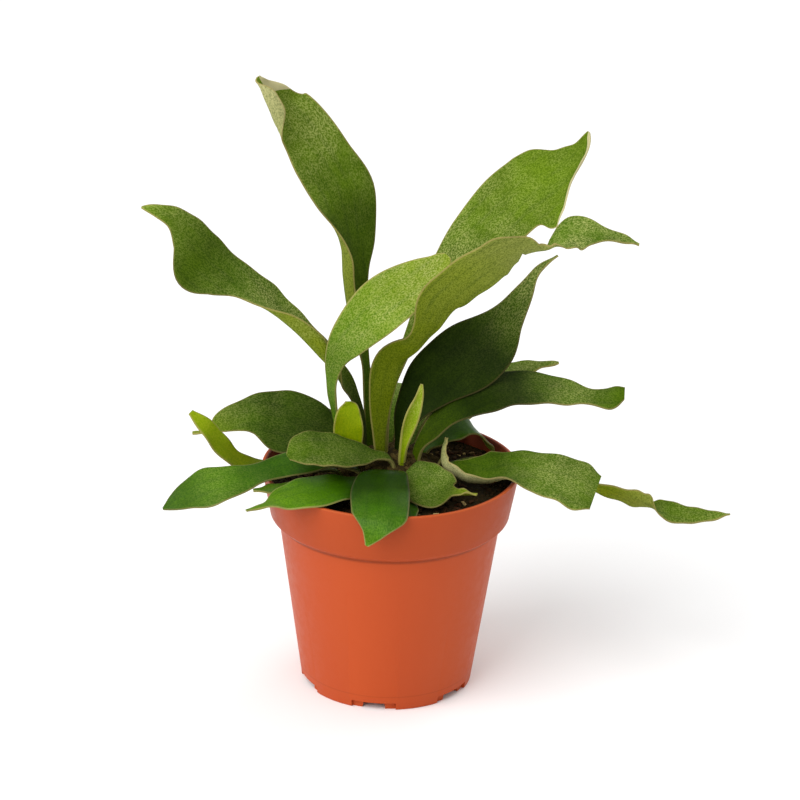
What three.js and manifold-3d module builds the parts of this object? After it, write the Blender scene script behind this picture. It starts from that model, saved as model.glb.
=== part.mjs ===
// A young staghorn fern with undivided fronds, in a plain plastic nursery pot.
// Millimetres, +Z up, the pot's foot on z = 0 and the front toward -Y.

import * as THREE from 'three';
import { mergeVertices } from 'three/addons/utils/BufferGeometryUtils.js';
import Module from 'manifold-3d';

// Pot: radii are outer ones, heights are above the surface that it stands on.
const RIM_HEIGHT = 96;
const RIM_RADIUS = 54;
const BAND_FOOT_HEIGHT = 75.5;
const BAND_FOOT_RADIUS = 50.2;
const STEP_HEIGHT = 72.3;
const STEP_RADIUS = 46.5;
const FOOT_RADIUS = 36.1;
const POT_WALL = 1.4;
const LIP_WIDTH = 1.8;
const FLOOR_HEIGHT = 4;
const FLOOR_THICKNESS = 1.5;
const EDGE = 0.5;
const STEP_INSIDE_RISE = 1;
const POT_SIDES = 60;

// Foot ring: notches that drain the pot, each with a recessed inner lip that has an opening.
const FOOT_RING = 3.2;
const NOTCH_COUNT = 6;
const NOTCH_ANGLE = 30;
const NOTCH_HEIGHT = 3.2;
const NOTCH_DEPTH = 1.3;
const NOTCH_FRONT_ANGLE = -98;
const NOTCH_OPENING = 8.5;
const NOTCH_FLARE = 1;
const CUT_OVERRUN = 2;

// Potting mix: its waves are [rate along x, rate along y, phase, height].
const GAP = 0.4;
const MIX_HEIGHT = 90;
const MIX_STEP_CLEARANCE = 1.6;
const MIX_RINGS = 8;
const MIX_SIDES = 40;
const MIX_WAVES = [
  [0.31, 0.17, 0, 0.21],
  [-0.19, 0.23, 1.3, 0.21],
  [0.83, -0.47, 0.6, 0.18],
  [0.53, 0.71, 2.1, 0.18],
];

// Crown that the fronds grow from.
const CROWN_CENTRE = [0, 4, 90];
const CROWN_RADII = [22, 19, 11];
const CROWN_LUMPS = 0.9;
const CROWN_LUMP_RATES = [5, 6, 2];
const CROWN_LUMP_PHASE = -1;
const CROWN_SIDES = 20;
const CROWN_RINGS = 12;

// Fronds: blade and stalk thickness, and the grid that each one is drawn with.
const BLADE_THICKNESS = 0.8;
const STALK_THICKNESS = 2.4;
const STALK_STATIONS = 2;
const LEAST_HALF_WIDTH = 0.5;
const ROWS_PER_STATION = 2;
const COLUMNS = 4;
const HOLE_STATIONS = 2;
const HOLE_COLUMNS = 2;
const TANGENT_STEP = 0.02;
const FLAT_CURL = 0.001;
const WELD_DISTANCE = 1e-3;

const TERRACOTTA = { color: 0xc5552e, roughness: 0.5 };
const PEAT = { color: 0x2a1a12, roughness: 0.95 };
const BARK = { color: 0x4a3120, roughness: 0.9 };
const GREY_GREEN = { color: 0x4d6b35, roughness: 0.6 };
const BRIGHT_GREEN = { color: 0x4a8a24, roughness: 0.4 };
const YELLOW_GREEN = { color: 0x9fb02a, roughness: 0.45 };

// Each frond has a heading, in degrees from +X, and a row for each station along it: the midline's
// x, y and z from the pot's axis, the half widths to its left and right, its roll about the midline,
// which lifts the right edge, and the angle that each edge curls up through.
const FRONDS = [
  {
    name: 'frond_tall_left', colour: GREY_GREEN, heading: 90,
    stations: [
      [-8, 13, 86, 2.2, 2.2, 0, 0, 0],
      [-9.8, 13, 117, 2.2, 2.2, -10, 0, 0],
      [-12, 17, 137, 2.6, 2.6, -40, 20, 20],
      [-18.5, 22, 155, 7, 8, -65, 100, 50],
      [-21, 27, 170, 10, 13, -65, 110, 55],
      [-22, 31, 184, 9, 17, -55, 90, 35],
      [-26.5, 34.5, 201, 9.5, 19, -25, 30, 10],
      [-34.5, 37, 216, 9.5, 16.5, -18, 15, 5],
      [-43, 37, 229, 8, 15.5, -20, 50, 5],
      [-49.5, 36, 236, 12, 14.5, -42, 140, 15],
      [-53.5, 35, 244, 13, 9.5, -50, 160, 20],
      [-56.5, 34, 250, 7, 4, -50, 150, 0],
      [-58, 34, 253.5, 1, 1, -30, 0, 0],
    ],
  },
  {
    name: 'frond_long_left', colour: GREY_GREEN, heading: 180,
    stations: [
      [-11, 6, 86, 2.2, 2.2, 0, 0, 0],
      [-12, 7, 110, 2.2, 2.2, 20, 0, 0],
      [-17, 6, 126, 3, 4, 35, 10, 10],
      [-24, 1, 138, 7, 6, 20, 70, 30],
      [-31, -4, 147, 10, 9.5, 5, 110, 50],
      [-41, -8, 159, 11, 11, 0, 115, 50],
      [-51, -9.5, 169.3, 9, 10.5, 22, 80, 20],
      [-60, -9.5, 179, 9, 7, 45, 15, 5],
      [-68, -9, 186, 15.5, 6, 50, 5, 0],
      [-76.5, -9, 193, 19.5, 7.5, 50, 0, 0],
      [-83.5, -7.5, 200, 10, 7, 50, 0, 0],
      [-90, -5, 204.5, 4.5, 5.5, 50, 0, 0],
      [-97, -2, 206.8, 3, 3, 50, 0, 0],
      [-103.5, 0, 207.4, 0.6, 0.6, 50, 0, 0],
    ],
  },
  {
    name: 'frond_pale_arch', colour: BRIGHT_GREEN, heading: 40,
    stations: [
      [-15, 2, 86, 2.2, 2.2, 0, 0, 0],
      [-22, 0, 112, 2.2, 2.2, 0, 0, 0],
      [-25, -4, 129, 2.6, 2.6, 0, 0, 0],
      [-24.3, -10.5, 144.6, 4, 4, -30, 0, 0],
      [-18.3, -16, 158.6, 8, 8.5, -46, 10, 10],
      [-6.4, -16.5, 172, 11.5, 11, -45, 10, 10],
      [5, -12.5, 179.5, 10.8, 10, -42, 10, 10],
      [14.5, -8.5, 185.3, 7.4, 7, -40, 5, 5],
      [19.5, -6, 189.7, 4, 4, -35, 0, 0],
      [21, -5.5, 191.7, 1.8, 1.8, -30, 0, 0],
    ],
  },
  {
    name: 'frond_big_front', colour: GREY_GREEN, heading: 0,
    stations: [
      [-3, 0, 86, 2.4, 2.4, 60, 0, 0],
      [-5, -2, 110, 3, 3, 70, 0, 0],
      [-4.5, -5, 130, 5.5, 5.5, 73, 0, 0],
      [-1, -9, 147.5, 7, 7, 72, 5, 0],
      [8, -15.5, 157, 4.5, 4.5, 70, 10, 10],
      [13.5, -20, 166, 6, 6, 68, 15, 15],
      [18, -24, 178, 11, 10, 68, 15, 0],
      [26, -26.5, 187.5, 13, 11, 66, 15, 0],
      [36.7, -27, 196, 13, 10.6, 64, 15, 0],
      [43.5, -25.8, 200.1, 12.8, 10, 61, 15, 0],
      [51.5, -23.5, 202.2, 10.2, 5.8, 54, 15, 20],
      [56.5, -21, 200.8, 9, 3.5, 46, 15, 30],
      [61, -18.5, 199.8, 7.5, 5, 25, 15, 30],
      [64.5, -16.5, 201.5, 6, 9, -8, 0, 5],
      [69, -14.3, 204.6, 7.5, 10.3, -28, 0, 0],
      [75.5, -12, 205.7, 8.4, 8.3, -30, 0, 0],
      [83, -9.5, 204, 4.5, 4.5, -27, 0, 0],
      [93, -7, 200.8, 2.3, 2.3, -25, 0, 0],
      [98.5, -6, 198.3, 0.8, 0.8, -20, 0, 0],
    ],
  },
  {
    name: 'frond_upper_right', colour: GREY_GREEN, heading: 35,
    stations: [
      [-3, 9, 86, 2.2, 2.2, 0, 0, 0],
      [-2, 11, 118, 2.2, 2.2, 0, 0, 0],
      [5, 18, 141, 3, 3, -10, 0, 0],
      [14, 24, 161, 6, 6, -20, 0, 0],
      [26, 30, 178, 10, 12, -30, 0, 0],
      [37.5, 35, 189.5, 14, 15, -30, 0, 5],
      [49, 39, 201, 15.3, 16.5, -30, 0, 10],
      [56, 40.5, 206, 15.8, 22, -30, 0, 10],
      [62.5, 41, 210.3, 15.2, 18.5, -28, 0, 25],
      [70.5, 42, 215.5, 9.5, 11.5, -22, 0, 60],
      [76, 42, 221.5, 6, 7.5, -12, 0, 70],
      [79, 42, 230.5, 0.8, 0.8, 0, 0, 0],
    ],
  },
  {
    name: 'frond_dark_right', colour: GREY_GREEN, heading: 25,
    stations: [
      [4, 5, 86, 2.4, 2.4, 0, 0, 0],
      [4, 6, 103, 3.4, 3.4, -20, 0, 0],
      [8, 9, 114, 8, 4, -40, 10, 0],
      [17, 14, 125, 14, 9, -45, 10, 0],
      [27, 20, 134, 15, 15, -45, 10, 0],
      [38, 25, 143, 12.8, 15, -45, 10, 0],
      [46, 29, 153, 6, 9.5, -45, 0, 0],
      [53.5, 32, 164, 2.6, 5.5, -45, 0, 0],
      [60, 34, 172, 2, 1.6, -30, 0, 0],
      [68, 36, 178, 0.8, 0.8, 0, 0, 0],
    ],
  },
  {
    name: 'frond_middle_right', colour: GREY_GREEN, heading: 10,
    stations: [
      [11, 0, 86, 2.2, 2.2, 0, 0, 0],
      [11, 1, 102, 3, 3, -20, 0, 0],
      [17, 4, 111, 5, 5, -30, 0, 0],
      [26, 8, 118, 9, 6, -30, 0, 0],
      [37, 11, 123, 12, 10, -22, 0, 0],
      [49, 13, 126, 12, 10, -20, 0, 0],
      [62, 14, 126, 11, 9, -20, 0, 0],
      [74, 14, 125, 8, 8, -20, 0, 0],
      [84, 13, 124, 4, 5, -25, 0, 0],
      [91, 12, 124, 6, 7, -25, 0, 0],
      [97, 11, 125, 5, 2, -30, 0, 0],
    ],
  },
  {
    name: 'frond_back_right', colour: GREY_GREEN, heading: 30,
    stations: [
      [6, 15, 86, 2.2, 2.2, 0, 0, 0],
      [12, 23, 105, 2.4, 2.4, 0, 0, 0],
      [24, 35, 118, 5, 5, 0, 0, 0],
      [40, 42, 123, 8, 8, 0, 0, 0],
      [54, 46, 123, 7, 7, 0, 0, 0],
      [63, 48, 124, 4, 4, 0, 0, 0],
      [71, 48, 125, 0.8, 0.8, 0, 0, 0],
    ],
  },
  {
    name: 'frond_over_mix', colour: BRIGHT_GREEN, heading: 30,
    stations: [
      [13, 8, 86, 2.2, 2.2, 0, 0, 0],
      [14, 10, 98, 2.4, 2.4, 0, 0, 0],
      [19, 13, 103, 5, 5, -10, 0, 0],
      [25, 16, 106, 7, 7, -15, 0, 0],
      [31, 19, 107, 7, 7, -15, 0, 0],
      [36, 20, 104, 6, 6, -10, 0, 0],
      [41, 21, 98, 4, 4, 0, 0, 0],
      [44, 21, 94, 0.8, 0.8, 0, 0, 0],
    ],
  },
  {
    name: 'frond_yellow_round', colour: YELLOW_GREEN, heading: 100,
    stations: [
      [-12, -4, 86, 1.8, 1.8, 0, 0, 0],
      [-15, -4, 100, 2.5, 2.5, 0, 0, 0],
      [-17, -5, 111, 7, 5.5, 0, 20, 10],
      [-18, -5, 119, 6.5, 5.5, 0, 30, 10],
      [-18, -4, 124, 3.5, 4, 0, 20, 0],
      [-18, -4, 126, 1.5, 1.5, 0, 0, 0],
    ],
  },
  {
    name: 'frond_round_left', colour: GREY_GREEN, heading: 180,
    stations: [
      [-17, 8, 86, 2.2, 2.2, 0, 0, 0],
      [-19, 10, 98, 4, 4, 20, 0, 0],
      [-28, 13, 104, 12, 10, 40, 0, 0],
      [-38, 15, 108, 15, 13, 45, 0, 0],
      [-48, 16, 110, 15, 12.8, 45, 0, 0],
      [-57, 16, 112, 10, 9, 45, 0, 0],
      [-65, 16, 111, 8, 5.5, 45, 0, 0],
      [-72, 16, 107, 5, 5, 45, 0, 0],
      [-77, 16, 103, 1.6, 1.6, 20, 0, 0],
      [-84, 16, 102, 1, 1, 0, 0, 0],
    ],
  },
  {
    name: 'frond_yellow_narrow', colour: YELLOW_GREEN, heading: 190,
    stations: [
      [-17, -3, 86, 1.8, 1.8, 0, 0, 0],
      [-24, -4, 95, 2.2, 2.2, 0, 0, 0],
      [-38, -7, 96, 4, 4, 10, 10, 10],
      [-53, -11, 98.5, 4.5, 4.5, 20, 10, 10],
      [-63, -13, 102, 4, 4, 40, 10, 10],
      [-70, -14, 109, 4.5, 4.5, 50, 10, 10],
      [-76, -14, 117, 4, 4, 50, 10, 0],
      [-83, -12, 123, 1.5, 1.5, 50, 0, 0],
    ],
  },
  {
    name: 'frond_low_left', colour: BRIGHT_GREEN, heading: 205,
    stations: [
      [-9, -9, 86, 2.2, 2.2, 0, 0, 0],
      [-14, -10, 98, 3, 3, 10, 0, 0],
      [-26, -13, 103, 5, 7, 15, 0, 0],
      [-39, -18, 103.5, 7, 8, 20, 0, 0],
      [-51, -23, 102, 5.5, 6, 20, 0, 0],
      [-62, -28, 100, 7.5, 8.5, 20, 0, 0],
      [-73, -31, 98, 10.5, 11, 20, 0, 0],
      [-83, -32, 94, 7, 8, 20, 0, 0],
      [-93, -32, 88, 0.8, 0.8, 20, 0, 0],
    ],
  },
  {
    name: 'frond_matt_front', colour: GREY_GREEN, heading: 210,
    stations: [
      [1, -7, 86, 2.2, 2.2, 0, 0, 0],
      [0, -7, 101, 2.6, 2.6, 10, 0, 0],
      [-7, -10, 105, 4, 4, 20, 0, 0],
      [-15, -15, 108, 8, 8, 25, 0, 0],
      [-23, -20, 111, 10, 10, 25, 0, 0],
      [-31, -24, 113, 10, 10, 25, 0, 0],
      [-37, -27, 113, 8, 8, 25, 0, 0],
      [-42, -29, 111, 2, 2, 25, 0, 0],
    ],
  },
  {
    name: 'frond_glossy_front', colour: BRIGHT_GREEN, heading: 216,
    stations: [
      [-6, -14, 86, 2.2, 2.2, 0, 0, 0],
      [-9, -17, 95, 4, 3, 5, 0, 0],
      [-16, -23, 97.5, 9, 6, 10, 0, 0],
      [-25, -30, 99, 12, 9, 10, 0, 0],
      [-35, -38, 99, 11, 10, 10, 0, 0],
      [-44, -43, 98, 7, 7, 10, 0, 0],
      [-51, -47, 97, 2, 2, 0, 0, 0],
      [-58, -50, 96, 1.2, 1.2, 0, 0, 0],
    ],
  },
  {
    name: 'frond_small_left', colour: BRIGHT_GREEN, heading: 200,
    stations: [
      [-14, -12, 86, 1.8, 1.8, 0, 0, 0],
      [-22, -19, 94, 2.2, 2.2, 0, 0, 0],
      [-33, -26, 97.3, 4, 4, 0, 0, 0],
      [-43, -30, 97.8, 4.5, 5, 0, 0, 0],
      [-50, -32.5, 97.8, 3.5, 4.5, 0, 0, 0],
      [-56, -33.5, 97.8, 0.8, 0.8, 0, 0, 0],
    ],
  },
  {
    name: 'frond_over_rim', colour: BRIGHT_GREEN, heading: -94,
    stations: [
      [0, -13, 86, 2.2, 2.2, 0, 0, 0],
      [0, -14, 98, 4, 4, 0, 0, 0],
      [-2, -22, 102, 9, 9, 0, 0, 0],
      [-4, -34, 101, 12, 12, 0, -10, -10],
      [-4, -47, 99, 12, 12, 0, -15, -15],
      [-5, -56, 97, 11.5, 10, 0, -10, -10],
      [-6.5, -60, 92, 5, 5, 0, 0, 0],
      [-9, -62, 87, 0.8, 0.8, 0, 0, 0],
    ],
  },
  {
    name: 'frond_shaded_front', colour: BRIGHT_GREEN, heading: -75,
    stations: [
      [7, -14, 82, 1.8, 1.8, 0, 0, 0],
      [7, -18, 89.8, 2, 2, 0, 0, 0],
      [7, -27, 91.6, 3.5, 3.5, 0, 0, 0],
      [8, -37, 91.8, 4, 4, 0, 0, 0],
      [9.5, -45, 91.8, 1, 1, 0, 0, 0],
    ],
  },
  {
    name: 'frond_front_right', colour: GREY_GREEN, heading: -40,
    stations: [
      [7, -7, 86, 2.2, 2.2, 0, 0, 0],
      [8, -9, 98, 5, 5, -15, 0, 0],
      [12.5, -15, 99, 8, 9, -20, 0, 0],
      [18, -23, 98, 9, 13, -22, 0, 0],
      [22.5, -29, 97, 7, 11, -22, 0, 0],
      [26.5, -31, 97.5, 3.5, 4, -10, 20, 20],
      [31, -32, 97.5, 3, 3, 10, 60, 60],
      [35.5, -33, 98, 1.2, 1.2, 20, 0, 0],
    ],
  },
  {
    name: 'frond_young_upright', colour: YELLOW_GREEN, heading: 90,
    stations: [
      [4, -4, 86, 1.5, 1.5, 0, 0, 0],
      [5, -6, 106, 1.8, 1.8, 0, 40, 40],
      [8, -7, 120, 3.6, 3.6, 0, 60, 60],
      [11, -8, 130, 2, 2, 0, 40, 40],
      [12, -8, 136, 0.6, 0.6, 0, 0, 0],
    ],
  },
  {
    name: 'frond_thin_young', colour: YELLOW_GREEN, heading: 90,
    stations: [
      [-1, 4.5, 86, 1.2, 1.2, 0, 0, 0],
      [-3, 4, 108, 1.2, 1.2, 0, 0, 0],
      [-2, 5, 120, 1.2, 1.2, 0, 0, 0],
      [-1, 6, 128, 0.6, 0.6, 0, 0, 0],
    ],
  },
  {
    name: 'frond_right_front', colour: GREY_GREEN, heading: -12,
    stations: [
      [14, -2, 86, 2.2, 2.2, 0, 0, 0],
      [19, 1, 94, 2.2, 2.2, 0, 0, 0],
      [21.8, 2.5, 101, 2, 2, 0, 0, 0],
      [22.5, 0.5, 107, 2, 2.4, 0, 0, 20],
      [21.5, -3.2, 105.4, 3, 4.2, 0, 10, 60],
      [21.5, -6, 101, 5, 6.5, 0, 20, 90],
      [24.5, -8.2, 97.8, 8, 9.5, -10, 20, 115],
      [32, -10, 95.2, 11.5, 10.5, -18, 20, 115],
      [41, -12, 96.2, 14.5, 10.5, -20, 20, 90],
      [50, -13, 99.5, 14.5, 10.5, -15, 5, 45],
      [59, -14, 99.8, 14.5, 12, -16, 0, 0],
      [70, -16, 98.5, 15, 13.5, -17, 0, 0],
      [79, -18, 96.5, 13.5, 15, -20, 0, 0],
      [85, -19, 94.5, 9.5, 11, -20, 0, 0],
    ],
  },
  {
    name: 'frond_far_right', colour: GREY_GREEN, heading: -3,
    stations: [
      [17, 5, 84, 2.2, 2.2, 0, 0, 0],
      [23, 8, 92.5, 2.4, 2.4, 0, 0, 0],
      [34, 9, 95, 3.5, 3.5, 0, 0, 0],
      [45, 7, 97.2, 4, 4, 0, 0, 0],
      [57, 4, 97.5, 4, 4, 0, 0, 0],
      [72, 5, 91.5, 4, 4, 20, 0, 0],
      [88.5, 7, 83.8, 3, 4.5, 50, 0, 30],
      [98, 7, 80.2, 3, 7, 50, 0, 30],
      [105, 6, 78, 4, 8.5, 42, 10, 50],
      [110, 5.5, 77.3, 5.5, 8, 18, 40, 80],
      [115, 4.3, 76.8, 6, 7, -15, 15, 30],
      [122, 2.5, 76.3, 4.5, 6, -28, 0, 0],
      [129, 0.5, 76.5, 3.5, 4.5, -30, 0, 0],
      [136, -2, 77.3, 2.4, 2.6, -30, 0, 0],
      [142.5, -4, 79, 0.6, 0.6, 0, 0, 0],
    ],
  },
  {
    name: 'frond_hidden_left', colour: GREY_GREEN, heading: 145,
    stations: [
      [-12, 16, 86, 2.2, 2.2, 0, 0, 0],
      [-16, 20, 98, 2.6, 2.6, 0, 0, 0],
      [-26, 30, 103, 7, 7, 0, 0, 0],
      [-39, 39, 104, 9, 9, 0, 0, 0],
      [-52, 45, 102, 8, 8, 0, 0, 0],
      [-62, 48, 97, 0.8, 0.8, 0, 0, 0],
    ],
  },
  {
    name: 'frond_hidden_back', colour: GREY_GREEN, heading: 88,
    stations: [
      [-2, 19, 86, 2.2, 2.2, 0, 0, 0],
      [-1, 24, 100, 2.6, 2.6, 0, 0, 0],
      [1, 36, 107, 7, 7, 0, 0, 0],
      [4, 50, 109, 9, 9, 0, 0, 0],
      [6, 64, 107, 8, 8, 0, 0, 0],
      [7, 76, 102, 0.8, 0.8, 0, 0, 0],
    ],
  },
  {
    name: 'frond_hidden_right', colour: BRIGHT_GREEN, heading: 60,
    stations: [
      [3, 20, 84, 2.2, 2.2, 0, 0, 0],
      [9, 26, 95, 2.6, 2.6, 0, 0, 0],
      [17, 37, 98.5, 5, 5, 0, 0, 0],
      [26, 48, 99, 7, 7, 0, 0, 0],
      [33, 59, 97, 5, 5, 0, 0, 0],
      [38, 66, 93, 0.8, 0.8, 0, 0, 0],
    ],
  },
];

// A Catmull-Rom curve through rows of numbers, at a place measured in stations.
function rowAt(rows, place) {
  const last = rows.length - 1;
  const start = Math.min(Math.floor(place), last - 1);
  const t = place - start;
  const pick = (index) => rows[Math.min(Math.max(index, 0), last)];
  return rows[start].map((b, k) => {
    const a = pick(start - 1)[k];
    const c = pick(start + 1)[k];
    const d = pick(start + 2)[k];
    const slope = (c - a) * t;
    const bend = (2 * a - 5 * b + 4 * c - d) * t * t;
    const turn = (3 * b - a - 3 * c + d) * t * t * t;
    return b + 0.5 * (slope + bend + turn);
  });
}

function midlinePoint(rows, place) {
  return new THREE.Vector3(...rowAt(rows, place).slice(0, 3));
}

// The frame of a frond at a place: its midline's direction, and its across and upward directions.
function frameAt(frond, place) {
  const last = frond.stations.length - 1;
  const before = midlinePoint(frond.stations, Math.max(place - TANGENT_STEP, 0));
  const after = midlinePoint(frond.stations, Math.min(place + TANGENT_STEP, last));
  const along = after.sub(before).normalize();
  const heading = THREE.MathUtils.degToRad(frond.heading);
  const across = new THREE.Vector3(Math.sin(heading), -Math.cos(heading), 0);
  across.addScaledVector(along, -across.dot(along)).normalize();
  const roll = THREE.MathUtils.degToRad(rowAt(frond.stations, place)[5]);
  across.applyAxisAngle(along, -roll);
  const up = new THREE.Vector3().crossVectors(across, along);
  return { along, across, up };
}

// One cross-section: points on the upper face and the lower face, from the left edge to the right.
function sectionAt(frond, place, columns, grow) {
  const row = rowAt(frond.stations, place);
  const middle = midlinePoint(frond.stations, place);
  const { across, up } = frameAt(frond, place);
  const stalk = 1 - THREE.MathUtils.smoothstep(place, 0, STALK_STATIONS);
  const half = (BLADE_THICKNESS + (STALK_THICKNESS - BLADE_THICKNESS) * stalk) / 2 + grow;
  const top = [];
  const bottom = [];
  for (let column = 0; column <= columns; column += 1) {
    const u = (2 * column) / columns - 1;
    const width = Math.max(u < 0 ? row[3] : row[4], LEAST_HALF_WIDTH) + grow;
    const curl = THREE.MathUtils.degToRad(u < 0 ? row[6] : row[7]);
    const turn = curl * Math.abs(u);
    const flat = Math.abs(curl) < FLAT_CURL;
    const aside = flat ? width * Math.abs(u) : (width / curl) * Math.sin(turn);
    const lift = flat ? 0 : (width / curl) * (1 - Math.cos(turn));
    const point = middle.clone().addScaledVector(across, Math.sign(u) * aside).addScaledVector(up, lift);
    const normal = up.clone().multiplyScalar(Math.cos(turn));
    normal.addScaledVector(across, -Math.sign(u) * Math.sin(turn));
    top.push(point.clone().addScaledVector(normal, half));
    bottom.push(point.clone().addScaledVector(normal, -half));
  }
  return [...top, ...bottom.reverse()];
}

// A closed solid through sections with the same number of points each, with the ends closed.
function loft(sections, columns) {
  const count = sections[0].length;
  const points = sections.flat();
  const faces = [];
  for (let row = 0; row < sections.length - 1; row += 1) {
    for (let k = 0; k < count; k += 1) {
      const a = row * count + k;
      const b = row * count + ((k + 1) % count);
      const c = a + count;
      const d = b + count;
      const alike = k <= columns;
      faces.push(...(alike ? [a, d, c, a, b, d] : [a, b, c, b, d, c]));
    }
  }
  const end = (sections.length - 1) * count;
  for (let k = 0; k < columns; k += 1) {
    const far = count - 1 - k;
    faces.push(k, far, k + 1, k + 1, far, far - 1);
    faces.push(end + k, end + k + 1, end + far, end + k + 1, end + far - 1, end + far);
  }
  const geometry = new THREE.BufferGeometry();
  geometry.setAttribute('position', new THREE.Float32BufferAttribute(points.flatMap((p) => p.toArray()), 3));
  geometry.setIndex(faces);
  return geometry;
}

function frondSolid(frond) {
  const sections = [];
  const steps = (frond.stations.length - 1) * ROWS_PER_STATION;
  for (let step = 0; step <= steps; step += 1) {
    sections.push(sectionAt(frond, step / ROWS_PER_STATION, COLUMNS, 0));
  }
  return loft(sections, COLUMNS);
}

const wasm = await Module();
wasm.setup();

function toManifold(geometry) {
  const bare = geometry.clone();
  bare.deleteAttribute('normal');
  bare.deleteAttribute('uv');
  const merged = mergeVertices(bare, WELD_DISTANCE);
  const vertProperties = new Float32Array(merged.attributes.position.array);
  const triVerts = new Uint32Array(merged.index.array);
  return new wasm.Manifold(new wasm.Mesh({ numProp: 3, vertProperties, triVerts }));
}

function toGeometry(solid) {
  const mesh = solid.getMesh();
  const geometry = new THREE.BufferGeometry();
  geometry.setAttribute('position', new THREE.BufferAttribute(mesh.vertProperties, 3));
  geometry.setIndex(new THREE.BufferAttribute(mesh.triVerts, 1));
  return geometry;
}

// The plain hole that a stalk stands in: the stalk's own shape, a little larger all round.
function stalkHole(frond) {
  const sections = [];
  for (let step = 0; step <= HOLE_STATIONS * ROWS_PER_STATION; step += 1) {
    sections.push(sectionAt(frond, step / ROWS_PER_STATION, HOLE_COLUMNS, GAP));
  }
  const { along } = frameAt(frond, 0);
  for (const point of sections[0]) {
    point.addScaledVector(along, -GAP);
  }
  return toManifold(loft(sections, HOLE_COLUMNS));
}

// A lathed solid about the Z axis, from an outline of [radius, height] points.
function turned(outline, sides) {
  const profile = outline.map(([radius, height]) => new THREE.Vector2(radius, height));
  return new THREE.LatheGeometry(profile, sides).rotateX(Math.PI / 2);
}

// The shell: a tapered wall, the step, the rim band, a raised floor and the foot ring under it.
function potShell() {
  const inner = (radius) => radius - POT_WALL;
  const floorTop = FLOOR_HEIGHT + FLOOR_THICKNESS;
  const floorRadius = THREE.MathUtils.mapLinear(floorTop, 0, STEP_HEIGHT, FOOT_RADIUS, STEP_RADIUS);
  return toManifold(turned([
    [0, FLOOR_HEIGHT],
    [FOOT_RADIUS - FOOT_RING, FLOOR_HEIGHT],
    [FOOT_RADIUS - FOOT_RING, 0],
    [FOOT_RADIUS - EDGE, 0],
    [FOOT_RADIUS, EDGE],
    [STEP_RADIUS, STEP_HEIGHT],
    [BAND_FOOT_RADIUS, BAND_FOOT_HEIGHT],
    [RIM_RADIUS, RIM_HEIGHT - EDGE],
    [RIM_RADIUS - EDGE, RIM_HEIGHT],
    [RIM_RADIUS - LIP_WIDTH, RIM_HEIGHT],
    [inner(BAND_FOOT_RADIUS), BAND_FOOT_HEIGHT + STEP_INSIDE_RISE],
    [inner(STEP_RADIUS), STEP_HEIGHT],
    [inner(floorRadius), floorTop],
    [0, floorTop],
  ], POT_SIDES));
}

// The recess of one notch: a sector of a ring that takes the outer part of the foot ring away.
function notchRecess() {
  const outer = FOOT_RADIUS + CUT_OVERRUN;
  const inner = FOOT_RADIUS - NOTCH_DEPTH;
  const half = THREE.MathUtils.degToRad(NOTCH_ANGLE / 2);
  const sector = new THREE.Shape();
  sector.absarc(0, 0, outer, -half, half, false);
  sector.absarc(0, 0, inner, half, -half, true);
  sector.closePath();
  const depth = NOTCH_HEIGHT + CUT_OVERRUN;
  const recess = new THREE.ExtrudeGeometry(sector, { depth, bevelEnabled: false });
  return recess.translate(0, 0, -CUT_OVERRUN);
}

// The opening of one notch: a trapezoid, wider at the foot, that runs through the inner lip.
function notchOpening() {
  const foot = NOTCH_OPENING / 2 + NOTCH_FLARE;
  const head = NOTCH_OPENING / 2;
  const outline = [[-foot, -CUT_OVERRUN], [foot, -CUT_OVERRUN], [head, NOTCH_HEIGHT], [-head, NOTCH_HEIGHT]];
  const shape = new THREE.Shape(outline.map(([aside, height]) => new THREE.Vector2(aside, height)));
  const depth = FOOT_RING + 2 * CUT_OVERRUN;
  const opening = new THREE.ExtrudeGeometry(shape, { depth, bevelEnabled: false });
  const start = FOOT_RADIUS - FOOT_RING - CUT_OVERRUN;
  return opening.rotateX(Math.PI / 2).rotateZ(Math.PI / 2).translate(start, 0, 0);
}

function potSolid() {
  let pot = potShell();
  for (let notch = 0; notch < NOTCH_COUNT; notch += 1) {
    const angle = THREE.MathUtils.degToRad(NOTCH_FRONT_ANGLE) + (2 * Math.PI * notch) / NOTCH_COUNT;
    pot = pot.subtract(toManifold(notchRecess().rotateZ(angle)));
    pot = pot.subtract(toManifold(notchOpening().rotateZ(angle)));
  }
  return pot;
}

// A crumbly surface's height over its level, from a few crossing waves.
function crumble(x, y) {
  return MIX_WAVES.reduce((sum, [alongX, alongY, phase, height]) => (
    sum + height * Math.sin(alongX * x + alongY * y + phase)), 0);
}

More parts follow.
